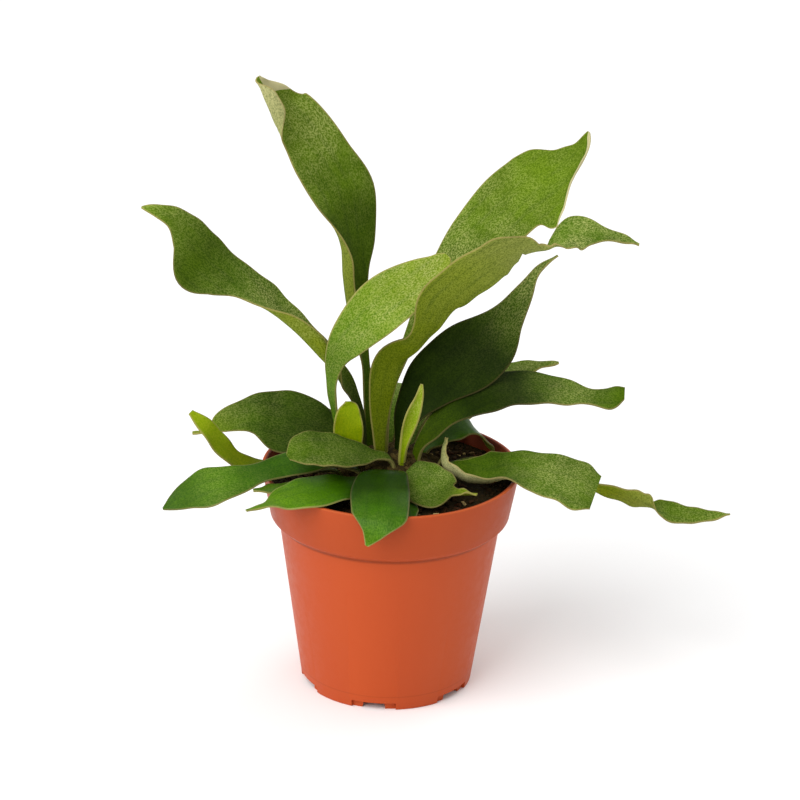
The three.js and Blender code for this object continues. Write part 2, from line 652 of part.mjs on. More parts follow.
// The mix fills the pot up to its level, a little clear of the wall and the floor.
function mixBody() {
  const bottom = FLOOR_HEIGHT + FLOOR_THICKNESS + GAP;
  const wallAt = (height) => THREE.MathUtils.mapLinear(
    height, BAND_FOOT_HEIGHT, RIM_HEIGHT, BAND_FOOT_RADIUS - POT_WALL, RIM_RADIUS - LIP_WIDTH);
  const brim = wallAt(MIX_HEIGHT) - GAP;
  const aboveStep = BAND_FOOT_HEIGHT + STEP_INSIDE_RISE + MIX_STEP_CLEARANCE;
  const outline = [
    [0, bottom],
    [FOOT_RADIUS - POT_WALL - GAP, bottom],
    [STEP_RADIUS - POT_WALL - GAP, STEP_HEIGHT + MIX_STEP_CLEARANCE],
    [wallAt(BAND_FOOT_HEIGHT) - GAP, aboveStep],
    [brim, MIX_HEIGHT],
  ];
  for (let ring = MIX_RINGS - 1; ring >= 0; ring -= 1) {
    outline.push([(brim * ring) / MIX_RINGS, MIX_HEIGHT]);
  }
  const body = turned(outline, MIX_SIDES);
  const position = body.attributes.position;
  for (let index = 0; index < position.count; index += 1) {
    if (position.getZ(index) === MIX_HEIGHT) {
      const height = MIX_HEIGHT + crumble(position.getX(index), position.getY(index));
      position.setZ(index, height);
    }
  }
  return toManifold(body);
}

// The crown: a low lumpy mound. Grown, it is the hollow in the mix that the crown sits in.
function crownBody(grow) {
  const mound = new THREE.SphereGeometry(1, CROWN_SIDES, CROWN_RINGS).rotateX(Math.PI / 2);
  const position = mound.attributes.position;
  const point = new THREE.Vector3();
  const [rateX, rateY, rateZ] = CROWN_LUMP_RATES;
  for (let index = 0; index < position.count; index += 1) {
    point.fromBufferAttribute(position, index);
    const sideways = Math.sin(rateX * point.x + rateZ * point.z);
    const lump = CROWN_LUMPS * sideways * Math.sin(rateY * point.y + CROWN_LUMP_PHASE);
    const swell = point.clone().multiplyScalar(lump + grow);
    point.multiply(new THREE.Vector3(...CROWN_RADII)).add(swell);
    point.add(new THREE.Vector3(...CROWN_CENTRE));
    position.setXYZ(index, point.x, point.y, point.z);
  }
  return toManifold(mound);
}

// The largest body of a solid, without the scraps that crossing holes can leave.
function largestBody(solid) {
  return solid.decompose().reduce((best, body) => (body.volume() > best.volume() ? body : best));
}

const stalkHoles = FRONDS.map(stalkHole);
const crown = largestBody(crownBody(0).subtract(wasm.Manifold.union(stalkHoles)));
const mix = largestBody(mixBody().subtract(wasm.Manifold.union([crownBody(GAP), ...stalkHoles])));

const plant = new THREE.Group();

function addPiece(name, geometry, look) {
  const material = new THREE.MeshStandardMaterial({ ...look, metalness: 0 });
  const mesh = new THREE.Mesh(geometry, material);
  mesh.name = name;
  plant.add(mesh);
}

addPiece('pot', toGeometry(potSolid()), TERRACOTTA);
addPiece('mix', toGeometry(mix), PEAT);
addPiece('crown', toGeometry(crown), BARK);
for (const frond of FRONDS) {
  addPiece(frond.name, frondSolid(frond), frond.colour);
}

// The origin is under the middle of the whole object's box, on the surface that it stands on.
const middle = new THREE.Box3().setFromObject(plant).getCenter(new THREE.Vector3());
plant.position.set(-middle.x, -middle.y, 0);

const group = new THREE.Group();
group.add(plant);

export default group;
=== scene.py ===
"""A young staghorn fern with undivided fronds in a plastic nursery pot, dressed around its frame."""
import math
import random

import bmesh
import bpy
from bpy.props import FloatProperty, FloatVectorProperty, IntProperty, PointerProperty
from mathutils import Matrix, Vector, noise


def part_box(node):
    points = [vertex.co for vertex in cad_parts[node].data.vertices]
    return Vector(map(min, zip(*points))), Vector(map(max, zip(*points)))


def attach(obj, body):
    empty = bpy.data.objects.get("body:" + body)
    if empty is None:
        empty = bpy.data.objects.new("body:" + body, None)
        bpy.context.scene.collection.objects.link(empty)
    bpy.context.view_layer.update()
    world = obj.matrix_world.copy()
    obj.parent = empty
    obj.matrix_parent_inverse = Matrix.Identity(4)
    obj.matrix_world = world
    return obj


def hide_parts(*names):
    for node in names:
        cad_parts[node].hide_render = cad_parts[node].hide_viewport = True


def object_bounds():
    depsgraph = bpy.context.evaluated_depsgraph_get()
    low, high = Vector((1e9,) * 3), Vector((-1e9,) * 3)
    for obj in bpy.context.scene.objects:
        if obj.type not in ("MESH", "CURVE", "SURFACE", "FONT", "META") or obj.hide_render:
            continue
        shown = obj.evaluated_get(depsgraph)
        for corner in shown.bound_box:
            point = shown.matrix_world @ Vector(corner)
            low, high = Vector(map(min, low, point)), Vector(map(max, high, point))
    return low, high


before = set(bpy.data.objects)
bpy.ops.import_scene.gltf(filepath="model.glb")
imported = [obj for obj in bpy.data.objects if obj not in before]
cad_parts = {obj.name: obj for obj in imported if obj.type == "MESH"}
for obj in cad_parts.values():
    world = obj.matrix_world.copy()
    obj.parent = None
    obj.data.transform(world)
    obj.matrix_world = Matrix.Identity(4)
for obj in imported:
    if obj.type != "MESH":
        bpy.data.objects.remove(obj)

bl_info = {
    "name": "Potted staghorn fern",
    "version": (1, 0, 0),
    "blender": (4, 5, 0),
    "location": "View3D > Sidebar > Fern",
    "description": "Dresses the frame of a young staghorn fern in its nursery pot",
    "category": "Add Mesh",
}

MM = 0.001
WELD = 1e-6
POT_LOW, POT_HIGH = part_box("pot")
POT_AXIS = Vector(((POT_LOW.x + POT_HIGH.x) / 2, (POT_LOW.y + POT_HIGH.y) / 2, POT_LOW.z))
FRAME_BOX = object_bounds()

# Each frond has a heading in degrees from +X, and a row for each station along it: the midline's
# x, y and z in millimetres from the pot's axis, then as many of these as it needs, named in
# whole_row: the half widths to its left and right, its roll about the midline, which lifts the right
# edge, and the angle that each edge curls up through. Youth, hair, shade and felt give how yellow
# and how hairy the tissue is, how much painted shade darkens it, and how pale its underside is,
# at evenly spaced places from the base to the tip. A hem is a turned-over strip along the right
# margin: the shares of the way where it starts and is widest, and its width in millimetres.
FRONDS = {
    "frond_tall_left": dict(
        look="grey", heading=90, youth=(0, 0.1, 0.1, 0.1, 0.15, 0.25),
        hair=(0, 0.05, 0.05, 0.2, 0.7, 0.3), shade=(0.5, 0.6, 0.75, 0.5, 0, 0),
        felt=(0, 0.1, 0.1, 0.2, 0.6, 1), hem=(0.93, 0.96, 9), stations=[
            (-8, 13, 86, 2.2), (-9.8, 13, 117, 2.2, 2.2, -10), (-12, 17, 137, 2.6, 2.6, -40, 20, 20),
            (-18.5, 22, 155, 7, 8, -65, 100, 50), (-21, 27, 170, 10, 13, -65, 110, 55),
            (-22, 31, 184, 9, 17, -55, 90, 35), (-26.5, 34.5, 201, 9.5, 19, -25, 30, 10),
            (-34.5, 37, 216, 9.5, 16.5, -18, 15, 5), (-43, 37, 229, 8, 15.5, -20, 50, 5),
            (-49.5, 36, 236, 12, 14.5, -42, 140, 15), (-53.5, 35, 244, 13, 9.5, -50, 160, 20),
            (-56.5, 34, 250, 7, 4, -50, 150), (-58, 34, 253.5, 1, 1, -30)]),
    "frond_long_left": dict(
        look="grey", heading=180, youth=(0.2, 0.2, 0, 0, 0.1, 0.2), hair=(0.1, 0.3, 0.9, 0.9, 0.15, 0.7),
        shade=(1, 0.9, 0.2, 0, 0.65, 0), felt=(0, 0, 0, 0.1, 0.3, 0.6), stations=[
            (-11, 6, 86, 2.2), (-12, 7, 110, 2.2, 2.2, 20), (-17, 6, 126, 3, 4, 35, 10, 10),
            (-24, 1, 138, 7, 6, 20, 70, 30), (-31, -4, 147, 10, 9.5, 5, 110, 50),
            (-41, -8, 159, 11, 11, 0, 115, 50), (-51, -9.5, 169.3, 9, 10.5, 22, 80, 20),
            (-60, -9.5, 179, 9, 7, 45, 15, 5), (-68, -9, 186, 15.5, 6, 50, 5),
            (-76.5, -9, 193, 19.5, 7.5, 50), (-83.5, -7.5, 200, 10, 7, 50),
            (-90, -5, 204.5, 4.5, 5.5, 50), (-97, -2, 206.8, 3, 3, 50),
            (-103.5, 0, 207.4, 0.6, 0.6, 50)]),
    "frond_pale_arch": dict(
        look="bright", heading=40, youth=(0.1, 0.2, 0.3, 0.5, 0.9), hair=(0, 0.1, 0.5, 0.85, 1),
        shade=(0.5, 0.4, 0.3, 0, 0), felt=(0.3, 0.3, 0.3, 0.4, 0.5), stations=[
            (-15, 2, 86, 2.2), (-22, 0, 112, 2.2), (-25, -4, 129, 2.6), (-24.3, -10.5, 144.6, 4, 4, -30),
            (-18.3, -16, 158.6, 8, 8.5, -46, 10, 10), (-6.4, -16.5, 172, 11.5, 11, -45, 10, 10),
            (5, -12.5, 179.5, 10.8, 10, -42, 10, 10), (14.5, -8.5, 185.3, 7.4, 7, -40, 5, 5),
            (19.5, -6, 189.7, 4, 4, -35), (21, -5.5, 191.7, 1.8, 1.8, -30)]),
    "frond_big_front": dict(
        look="grey", heading=0, youth=(0.2, 0.1, 0, 0.1, 0, 0), hair=(0.2, 0.2, 0.35, 0.3, 1, 1),
        shade=(1, 1, 1, 0.1, 0, 0), felt=(0, 0, 0, 0.1, 0.4, 0.9), stations=[
            (-3, 0, 86, 2.4, 2.4, 60), (-5, -2, 110, 3, 3, 70), (-4.5, -5, 130, 5.5, 5.5, 73),
            (-1, -9, 147.5, 7, 7, 72, 5), (8, -15.5, 157, 4.5, 4.5, 70, 10, 10),
            (13.5, -20, 166, 6, 6, 68, 15, 15), (18, -24, 178, 11, 10, 68, 15),
            (26, -26.5, 187.5, 13, 11, 66, 15), (36.7, -27, 196, 13, 10.6, 64, 15),
            (43.5, -25.8, 200.1, 12.8, 10, 61, 15), (51.5, -23.5, 202.2, 10.2, 5.8, 54, 15, 20),
            (56.5, -21, 200.8, 9, 3.5, 46, 15, 30), (61, -18.5, 199.8, 7.5, 5, 25, 15, 30),
            (64.5, -16.5, 201.5, 6, 9, -8, 0, 5), (69, -14.3, 204.6, 7.5, 10.3, -28),
            (75.5, -12, 205.7, 8.4, 8.3, -30), (83, -9.5, 204, 4.5, 4.5, -27),
            (93, -7, 200.8, 2.3, 2.3, -25), (98.5, -6, 198.3, 0.8, 0.8, -20)]),
    "frond_upper_right": dict(
        look="grey", heading=35, youth=(0.1, 0.1, 0.1, 0.1, 0.2, 0.2),
        hair=(0, 0.2, 0.9, 0.75, 0.35, 0.1), shade=(0.3, 0.4, 0.15, 0.1, 0, 0),
        felt=(0.5, 0.5, 0.5, 0.6, 0.8, 0.9), hem=(0.78, 0.9, 2.2), stations=[
            (-3, 9, 86, 2.2), (-2, 11, 118, 2.2), (5, 18, 141, 3, 3, -10), (14, 24, 161, 6, 6, -20),
            (26, 30, 178, 10, 12, -30), (37.5, 35, 189.5, 14, 15, -30, 0, 5),
            (49, 39, 201, 15.3, 16.5, -30, 0, 10), (56, 40.5, 206, 15.8, 22, -30, 0, 10),
            (62.5, 41, 210.3, 15.2, 18.5, -28, 0, 25), (70.5, 42, 215.5, 9.5, 11.5, -22, 0, 60),
            (76, 42, 221.5, 6, 7.5, -12, 0, 70), (79, 42, 230.5, 0.8)]),
    "frond_dark_right": dict(
        look="grey", heading=25, youth=(0, 0), hair=(0, 0, 0.05, 0.25, 1, 1),
        shade=(0.95, 1, 1, 1, 0.5, 0), felt=(0.3, 0.3, 0.5, 0.6, 0.6), stations=[
            (4, 5, 86, 2.4), (4, 6, 103, 3.4, 3.4, -20), (8, 9, 114, 8, 4, -40, 10),
            (17, 14, 125, 14, 9, -45, 10), (27, 20, 134, 15, 15, -45, 10),
            (38, 25, 143, 12.8, 15, -45, 10), (46, 29, 153, 6, 9.5, -45), (53.5, 32, 164, 2.6, 5.5, -45),
            (60, 34, 172, 2, 1.6, -30), (68, 36, 178, 0.8)]),
    "frond_middle_right": dict(
        look="grey", heading=10, youth=(0.3, 0.2, 0, 0, 0, 0.1), hair=(0, 0, 0, 0.3, 0.8, 0),
        shade=(0.2, 0.6, 1, 1, 0.2, 0.4), felt=(0.5, 0.5, 0.3, 0.2, 0.1, 0), stations=[
            (11, 0, 86, 2.2), (11, 1, 102, 3, 3, -20), (17, 4, 111, 5, 5, -30), (26, 8, 118, 9, 6, -30),
            (37, 11, 123, 12, 10, -22), (49, 13, 126, 12, 10, -20), (62, 14, 126, 11, 9, -20),
            (74, 14, 125, 8, 8, -20), (84, 13, 124, 4, 5, -25), (91, 12, 124, 6, 7, -25),
            (97, 11, 125, 5, 2, -30)]),
    "frond_back_right": dict(
        look="grey", heading=30, youth=(0, 0, 0.1), hair=(0.2, 1, 1), shade=(0.4, 0, 0),
        felt=(0.4, 0.4, 0.4), stations=[
            (6, 15, 86, 2.2), (12, 23, 105, 2.4), (24, 35, 118, 5), (40, 42, 123, 8), (54, 46, 123, 7),
            (63, 48, 124, 4), (71, 48, 125, 0.8)]),
    "frond_over_mix": dict(
        look="bright", heading=30, youth=(0.15, 0.1, 0), hair=(0, 0, 0.05), shade=(0.4, 0.6, 0.6),
        felt=(0.1, 0.1, 0.1), stations=[
            (13, 8, 86, 2.2), (14, 10, 98, 2.4), (19, 13, 103, 5, 5, -10), (25, 16, 106, 7, 7, -15),
            (31, 19, 107, 7, 7, -15), (36, 20, 104, 6, 6, -10), (41, 21, 98, 4), (44, 21, 94, 0.8)]),
    "frond_yellow_round": dict(
        look="yellow", heading=100, youth=(0.6, 0.75, 0.9), hair=(0, 0, 0.05), shade=(0.3, 0.2, 0.1),
        felt=(0, 0, 0), stations=[
            (-12, -4, 86, 1.8), (-15, -4, 100, 2.5), (-17, -5, 111, 7, 5.5, 0, 20, 10),
            (-18, -5, 119, 6.5, 5.5, 0, 30, 10), (-18, -4, 124, 3.5, 4, 0, 20), (-18, -4, 126, 1.5)]),
    "frond_round_left": dict(
        look="grey", heading=180, youth=(0.1, 0, 0, 0.5), hair=(0.2, 0.3, 0.45, 0.3),
        shade=(0.9, 0.9, 0.5, 0), felt=(0.3, 0.3, 0.4, 0.8), stations=[
            (-17, 8, 86, 2.2), (-19, 10, 98, 4, 4, 20), (-28, 13, 104, 12, 10, 40),
            (-38, 15, 108, 15, 13, 45), (-48, 16, 110, 15, 12.8, 45), (-57, 16, 112, 10, 9, 45),
            (-65, 16, 111, 8, 5.5, 45), (-72, 16, 107, 5, 5, 45), (-77, 16, 103, 1.6, 1.6, 20),
            (-84, 16, 102, 1)]),
    "frond_yellow_narrow": dict(
        look="yellow", heading=190, youth=(0, 0.1, 0.4, 0.9), hair=(0, 0, 0.05, 0.1),
        shade=(1, 1, 0.6, 0), felt=(0, 0, 0, 0.2), stations=[
            (-17, -3, 86, 1.8), (-24, -4, 95, 2.2), (-38, -7, 96, 4, 4, 10, 10, 10),
            (-53, -11, 98.5, 4.5, 4.5, 20, 10, 10), (-63, -13, 102, 4, 4, 40, 10, 10),
            (-70, -14, 109, 4.5, 4.5, 50, 10, 10), (-76, -14, 117, 4, 4, 50, 10),
            (-83, -12, 123, 1.5, 1.5, 50)]),
    "frond_low_left": dict(
        look="bright", heading=205, youth=(0.1, 0, 0, 0.15, 0.1), hair=(0, 0, 0.1, 0.3, 0),
        shade=(0.7, 0.8, 0.6, 0.3, 0.7), felt=(0.2, 0.2), stations=[
            (-9, -9, 86, 2.2), (-14, -10, 98, 3, 3, 10), (-26, -13, 103, 5, 7, 15),
            (-39, -18, 103.5, 7, 8, 20), (-51, -23, 102, 5.5, 6, 20), (-62, -28, 100, 7.5, 8.5, 20),
            (-73, -31, 98, 10.5, 11, 20), (-83, -32, 94, 7, 8, 20), (-93, -32, 88, 0.8, 0.8, 20)]),
    "frond_matt_front": dict(
        look="grey", heading=210, youth=(0.1, 0, 0.05), hair=(0.3, 0.45, 0.5), shade=(0.5, 0.45, 0.3),
        felt=(0.3, 0.3), stations=[
            (1, -7, 86, 2.2), (0, -7, 101, 2.6, 2.6, 10), (-7, -10, 105, 4, 4, 20),
            (-15, -15, 108, 8, 8, 25), (-23, -20, 111, 10, 10, 25), (-31, -24, 113, 10, 10, 25),
            (-37, -27, 113, 8, 8, 25), (-42, -29, 111, 2, 2, 25)]),
    "frond_glossy_front": dict(
        look="bright", heading=216, youth=(0, 0, 0.15, 0.3), hair=(0, 0, 0.05, 0.1),
        shade=(0.9, 0.7, 0, 0.2), felt=(0.2, 0.2), stations=[
            (-6, -14, 86, 2.2), (-9, -17, 95, 4, 3, 5), (-16, -23, 97.5, 9, 6, 10),
            (-25, -30, 99, 12, 9, 10), (-35, -38, 99, 11, 10, 10), (-44, -43, 98, 7, 7, 10),
            (-51, -47, 97, 2), (-58, -50, 96, 1.2)]),
    "frond_small_left": dict(
        look="bright", heading=200, youth=(0, 0.1, 0.2), hair=(0, 0.05, 0.1), shade=(0.8, 0.6, 0.3),
        felt=(0.2, 0.2), stations=[
            (-14, -12, 86, 1.8), (-22, -19, 94, 2.2), (-33, -26, 97.3, 4), (-43, -30, 97.8, 4.5, 5),
            (-50, -32.5, 97.8, 3.5, 4.5), (-56, -33.5, 97.8, 0.8)]),
    "frond_over_rim": dict(
        look="bright", heading=-94, youth=(0, 0, 0, 0, 0.1), hair=(0, 0, 0.05, 0.15, 0.1),
        shade=(1, 1, 1, 0.45, 0.1), felt=(0.2, 0.2), stations=[
            (0, -13, 86, 2.2), (0, -14, 98, 4), (-2, -22, 102, 9), (-4, -34, 101, 12, 12, 0, -10, -10),
            (-4, -47, 99, 12, 12, 0, -15, -15), (-5, -56, 97, 11.5, 10, 0, -10, -10), (-6.5, -60, 92, 5),
            (-9, -62, 87, 0.8)]),
    "frond_shaded_front": dict(
        look="bright", heading=-75, youth=(0, 0), hair=(0, 0), shade=(0.8, 0.6), felt=(0, 0), stations=[
            (7, -14, 82, 1.8), (7, -18, 89.8, 2), (7, -27, 91.6, 3.5), (8, -37, 91.8, 4),
            (9.5, -45, 91.8, 1)]),
    "frond_front_right": dict(
        look="grey", heading=-40, youth=(0, 0, 0, 0.05, 0.9), hair=(0.1, 0.4, 0.75, 0.3, 0.05),
        shade=(0.6, 0.4, 0.15, 0.6, 0), felt=(0.2, 0.2, 0.2, 0.2, 0), stations=[
            (7, -7, 86, 2.2), (8, -9, 98, 5, 5, -15), (12.5, -15, 99, 8, 9, -20),
            (18, -23, 98, 9, 13, -22), (22.5, -29, 97, 7, 11, -22),
            (26.5, -31, 97.5, 3.5, 4, -10, 20, 20), (31, -32, 97.5, 3, 3, 10, 60, 60),
            (35.5, -33, 98, 1.2, 1.2, 20)]),
    "frond_young_upright": dict(
        look="yellow", heading=90, youth=(0.2, 0.4, 0.6), hair=(0, 0.1, 0.8), shade=(0.4, 0, 0),
        felt=(0, 0.1, 0.6), stations=[
            (4, -4, 86, 1.5), (5, -6, 106, 1.8, 1.8, 0, 40, 40), (8, -7, 120, 3.6, 3.6, 0, 60, 60),
            (11, -8, 130, 2, 2, 0, 40, 40), (12, -8, 136, 0.6)]),
    "frond_thin_young": dict(
        look="yellow", heading=90, youth=(0.2, 0.3, 0.5), hair=(0, 0.1, 0.2), shade=(0.5, 0.3, 0.1),
        felt=(0, 0), stations=[
            (-1, 4.5, 86, 1.2), (-3, 4, 108, 1.2), (-2, 5, 120, 1.2), (-1, 6, 128, 0.6)]),
    "frond_right_front": dict(
        look="grey", heading=-12, youth=(0, 0.1, 0.1, 0.05, 0, 0.1), hair=(0, 0, 0.05, 0.1, 0.8, 0.4),
        shade=(1, 0.6, 0.2, 0.4, 0.1, 0.1), felt=(0, 0.4, 1, 0.8, 0.4, 0.2), stations=[
            (14, -2, 86, 2.2), (19, 1, 94, 2.2), (21.8, 2.5, 101, 2), (22.5, 0.5, 107, 2, 2.4, 0, 0, 20),
            (21.5, -3.2, 105.4, 3, 4.2, 0, 10, 60), (21.5, -6, 101, 5, 6.5, 0, 20, 90),
            (24.5, -8.2, 97.8, 8, 9.5, -10, 20, 115), (32, -10, 95.2, 11.5, 10.5, -18, 20, 115),
            (41, -12, 96.2, 14.5, 10.5, -20, 20, 90), (50, -13, 99.5, 14.5, 10.5, -15, 5, 45),
            (59, -14, 99.8, 14.5, 12, -16), (70, -16, 98.5, 15, 13.5, -17),
            (79, -18, 96.5, 13.5, 15, -20), (85, -19, 94.5, 9.5, 11, -20)]),
    "frond_far_right": dict(
        look="grey", heading=-3, youth=(0.2, 0.5, 0.6, 0.5, 0.1, 0.1),
        hair=(0, 0.05, 0.05, 0.1, 0.35, 0.5), shade=(0.6, 0.4, 0.3, 0.2, 0.2, 0.15),
        felt=(0, 0, 0, 0, 0.3, 0.3), stations=[
            (17, 5, 84, 2.2), (23, 8, 92.5, 2.4), (34, 9, 95, 3.5), (45, 7, 97.2, 4), (57, 4, 97.5, 4),
            (72, 5, 91.5, 4, 4, 20), (88.5, 7, 83.8, 3, 4.5, 50, 0, 30), (98, 7, 80.2, 3, 7, 50, 0, 30),
            (105, 6, 78, 4, 8.5, 42, 10, 50), (110, 5.5, 77.3, 5.5, 8, 18, 40, 80),
            (115, 4.3, 76.8, 6, 7, -15, 15, 30), (122, 2.5, 76.3, 4.5, 6, -28),
            (129, 0.5, 76.5, 3.5, 4.5, -30), (136, -2, 77.3, 2.4, 2.6, -30), (142.5, -4, 79, 0.6)]),
    "frond_hidden_left": dict(
        look="grey", heading=145, youth=(0.1, 0, 0.1), hair=(0.1, 0.6, 0.4), shade=(0.5, 0.3, 0.1),
        felt=(0.2, 0.3, 0.4), stations=[
            (-12, 16, 86, 2.2), (-16, 20, 98, 2.6), (-26, 30, 103, 7), (-39, 39, 104, 9),
            (-52, 45, 102, 8), (-62, 48, 97, 0.8)]),
    "frond_hidden_back": dict(
        look="grey", heading=88, youth=(0.1, 0, 0.1), hair=(0.1, 0.6, 0.4), shade=(0.5, 0.3, 0.1),
        felt=(0.2, 0.3, 0.4), stations=[
            (-2, 19, 86, 2.2), (-1, 24, 100, 2.6), (1, 36, 107, 7), (4, 50, 109, 9), (6, 64, 107, 8),
            (7, 76, 102, 0.8)]),
    "frond_hidden_right": dict(
        look="bright", heading=60, youth=(0.1, 0.05, 0.1), hair=(0, 0.1, 0.15), shade=(0.5, 0.3, 0.2),
        felt=(0.2, 0.2), stations=[
            (3, 20, 84, 2.2), (9, 26, 95, 2.6), (17, 37, 98.5, 5), (26, 48, 99, 7), (33, 59, 97, 5),
            (38, 66, 93, 0.8)]),
}


def srgb(red, green, blue):
    """A colour as a screen shows it, from 0 to 255, turned into the linear values of a shader."""
    def linear(value):
        level = value / 255
        return level / 12.92 if level <= 0.04045 else ((level + 0.055) / 1.055) ** 2.4
    return (linear(red), linear(green), linear(blue))


def size(name, description, millimetres):
    return FloatProperty(name=name, description=description, default=millimetres * MM, unit="LENGTH")


def count(name, description, value):
    return IntProperty(name=name, description=description, default=value, min=1)


def colour(name, description, red, green, blue):
    return FloatVectorProperty(name=name, description=description, default=srgb(red, green, blue),
                               size=3, min=0, max=1, subtype="COLOR")


def power(name, description, watts):
    return FloatProperty(name=name, description=description, default=watts, subtype="POWER")


def angle(name, description, degrees):
    return FloatProperty(name=name, description=description, default=math.radians(degrees),
                         subtype="ANGLE")


class PotSettings(bpy.types.PropertyGroup):
    """Sizes and colour of the nursery pot."""
    height: FloatProperty(name="Height", description="Foot to rim", unit="LENGTH",
                          default=POT_HIGH.z - POT_LOW.z)
    rim_radius: FloatProperty(name="Rim radius", description="Outside of the rim", unit="LENGTH",
                              default=(POT_HIGH.x - POT_LOW.x) / 2)
    band_foot_height: size("Band foot height", "Height of the rim band's lower edge", 75.5)
    band_foot_radius: size("Band foot radius", "Outside of the rim band at its lower edge", 50.2)
    step_height: size("Step height", "Height where the step under the band starts", 72.3)
    step_radius: size("Step radius", "Outside of the wall under the step", 46.5)
    step_inside_rise: size("Step inside rise", "How much higher the step is on the inside", 1)
    foot_radius: size("Foot radius", "Outside of the foot", 36.1)
    wall: size("Wall", "Thickness of the wall", 1.4)
    lip_width: size("Lip width", "Width of the rim's flat top", 1.8)
    floor_height: size("Floor height", "Underside of the floor above the surface", 4)
    floor_thickness: size("Floor thickness", "Thickness of the floor", 1.5)
    foot_ring: size("Foot ring", "Width of the ring that the pot stands on", 3.2)
    notch_count: count("Notches", "Drainage notches round the foot", 6)
    notch_height: size("Notch height", "Height of a notch", 3.2)
    notch_depth: size("Notch depth", "How far the lip in a notch lies back", 1.3)
    notch_opening: size("Notch opening", "Width of the opening at its top", 8.5)
    notch_flare: size("Notch flare", "How much further the opening reaches to each side at the foot", 1)
    mould_line: size("Mould line", "Height of the faint mould line above the foot", 6.4)
    edge: size("Edge", "Rounding of the moulded edges", 0.45)
    plastic: colour("Plastic", "Colour of the plastic", 178, 73, 33)
    # This colour also paints the highlight along the rim's outer edge.
    worn_and_highlight: colour("Worn plastic", "Lighter, slightly bleached patches of the plastic", 194, 91, 44)


class MixSettings(bpy.types.PropertyGroup):
    """Sizes and colours of the potting mix."""
    level: size("Level", "Height of the mix", 90)
    clearance: size("Clearance", "Gap to the pot's wall", 0.4)
    crumb_height: size("Crumb height", "Height of the crumbs in the surface", 1.1)
    crumbs: count("Crumbs", "Loose crumbs of peat on the surface", 1500)
    chips: count("Chips", "Loose chips of bark on the surface", 190)
    peat: colour("Peat", "Colour of the peat", 38, 31, 14)
    bark: colour("Bark", "Colour of the bark", 72, 42, 24)
    pale: colour("Pale bits", "Colour of the palest bits", 184, 158, 104)


class CrownSettings(bpy.types.PropertyGroup):
    """Sizes and colours of the crown."""
    width: size("Width", "Half the crown's width", 22)
    depth: size("Depth", "Half the crown's depth", 19)
    rise: size("Rise", "Half the crown's height", 11)
    scales: count("Scales", "Papery scales on the crown", 420)
    scale_length: size("Scale length", "Length of a scale", 5)
    husk: colour("Husk", "Colour of the old scales", 38, 30, 14)
    fresh: colour("Fresh", "Colour of the young scales", 80, 66, 32)


class FrondSettings(bpy.types.PropertyGroup):
    """Thickness, mesh and colours of the fronds."""
    blade: size("Blade", "Thickness of a blade", 0.8)
    stalk: size("Stalk", "Thickness of a stalk at its foot", 2.4)
    columns: count("Columns", "Faces across one side of a blade", 14)
    rows: count("Rows", "Faces from one station to the next", 8)
    ripple: size("Ripple", "Height of the small waves along the margins", 0.35)
    grey: colour("Grey-green", "Upper side of a hairy frond", 80, 114, 0)
    grey_deep: colour("Deep grey-green", "Darker patches of a hairy frond", 32, 62, 0)
    bright: colour("Bright green", "Upper side of a glossy frond", 76, 130, 0)
    bright_deep: colour("Deep bright green", "Darker patches of a glossy frond", 34, 80, 0)
    yellow: colour("Yellow-green", "Tissue of a young frond", 140, 156, 0)
    yellow_deep: colour("Deep yellow-green", "Darker patches of a young frond", 92, 128, 0)
    under: colour("Underside", "Underside of a frond", 118, 132, 4)
    felt: colour("Felt", "Underside where it is felted", 182, 174, 130)
    margin: colour("Margin", "Margin of a frond", 156, 140, 86)
    hair: colour("Hair", "The fine star-shaped hairs", 172, 176, 104)


class StageSettings(bpy.types.PropertyGroup):
    """The floor, the lights and the camera."""
    floor_size: size("Floor size", "Side of the floor", 12000)
    floor: colour("Floor", "Colour of the floor", 246, 246, 246)
    sky: FloatProperty(name="Sky", description="Strength of the light from all round", default=0.68)
    key: power("Key", "Power of the light at the front left", 50)
    back: power("Back", "Power of the light at the back right", 15)
    camera_distance: size("Camera distance", "From the pot's axis to the camera", 1307)
    camera_height: size("Camera height", "Height of the camera", 653.4)
    pitch: angle("Pitch", "How far the camera looks down", 21.99)
    yaw: angle("Yaw", "How far the camera looks to the left", -0.14)
    roll: angle("Roll", "How far the camera leans", 1.36)
    lens: FloatProperty(name="Lens", description="Focal length on a 36 mm sensor", default=152.87,
                        unit="CAMERA")


# The sockets of a Mix node that carry colour.
MIX_FACTOR, MIX_FIRST, MIX_SECOND, MIX_RESULT = 0, 6, 7, 2


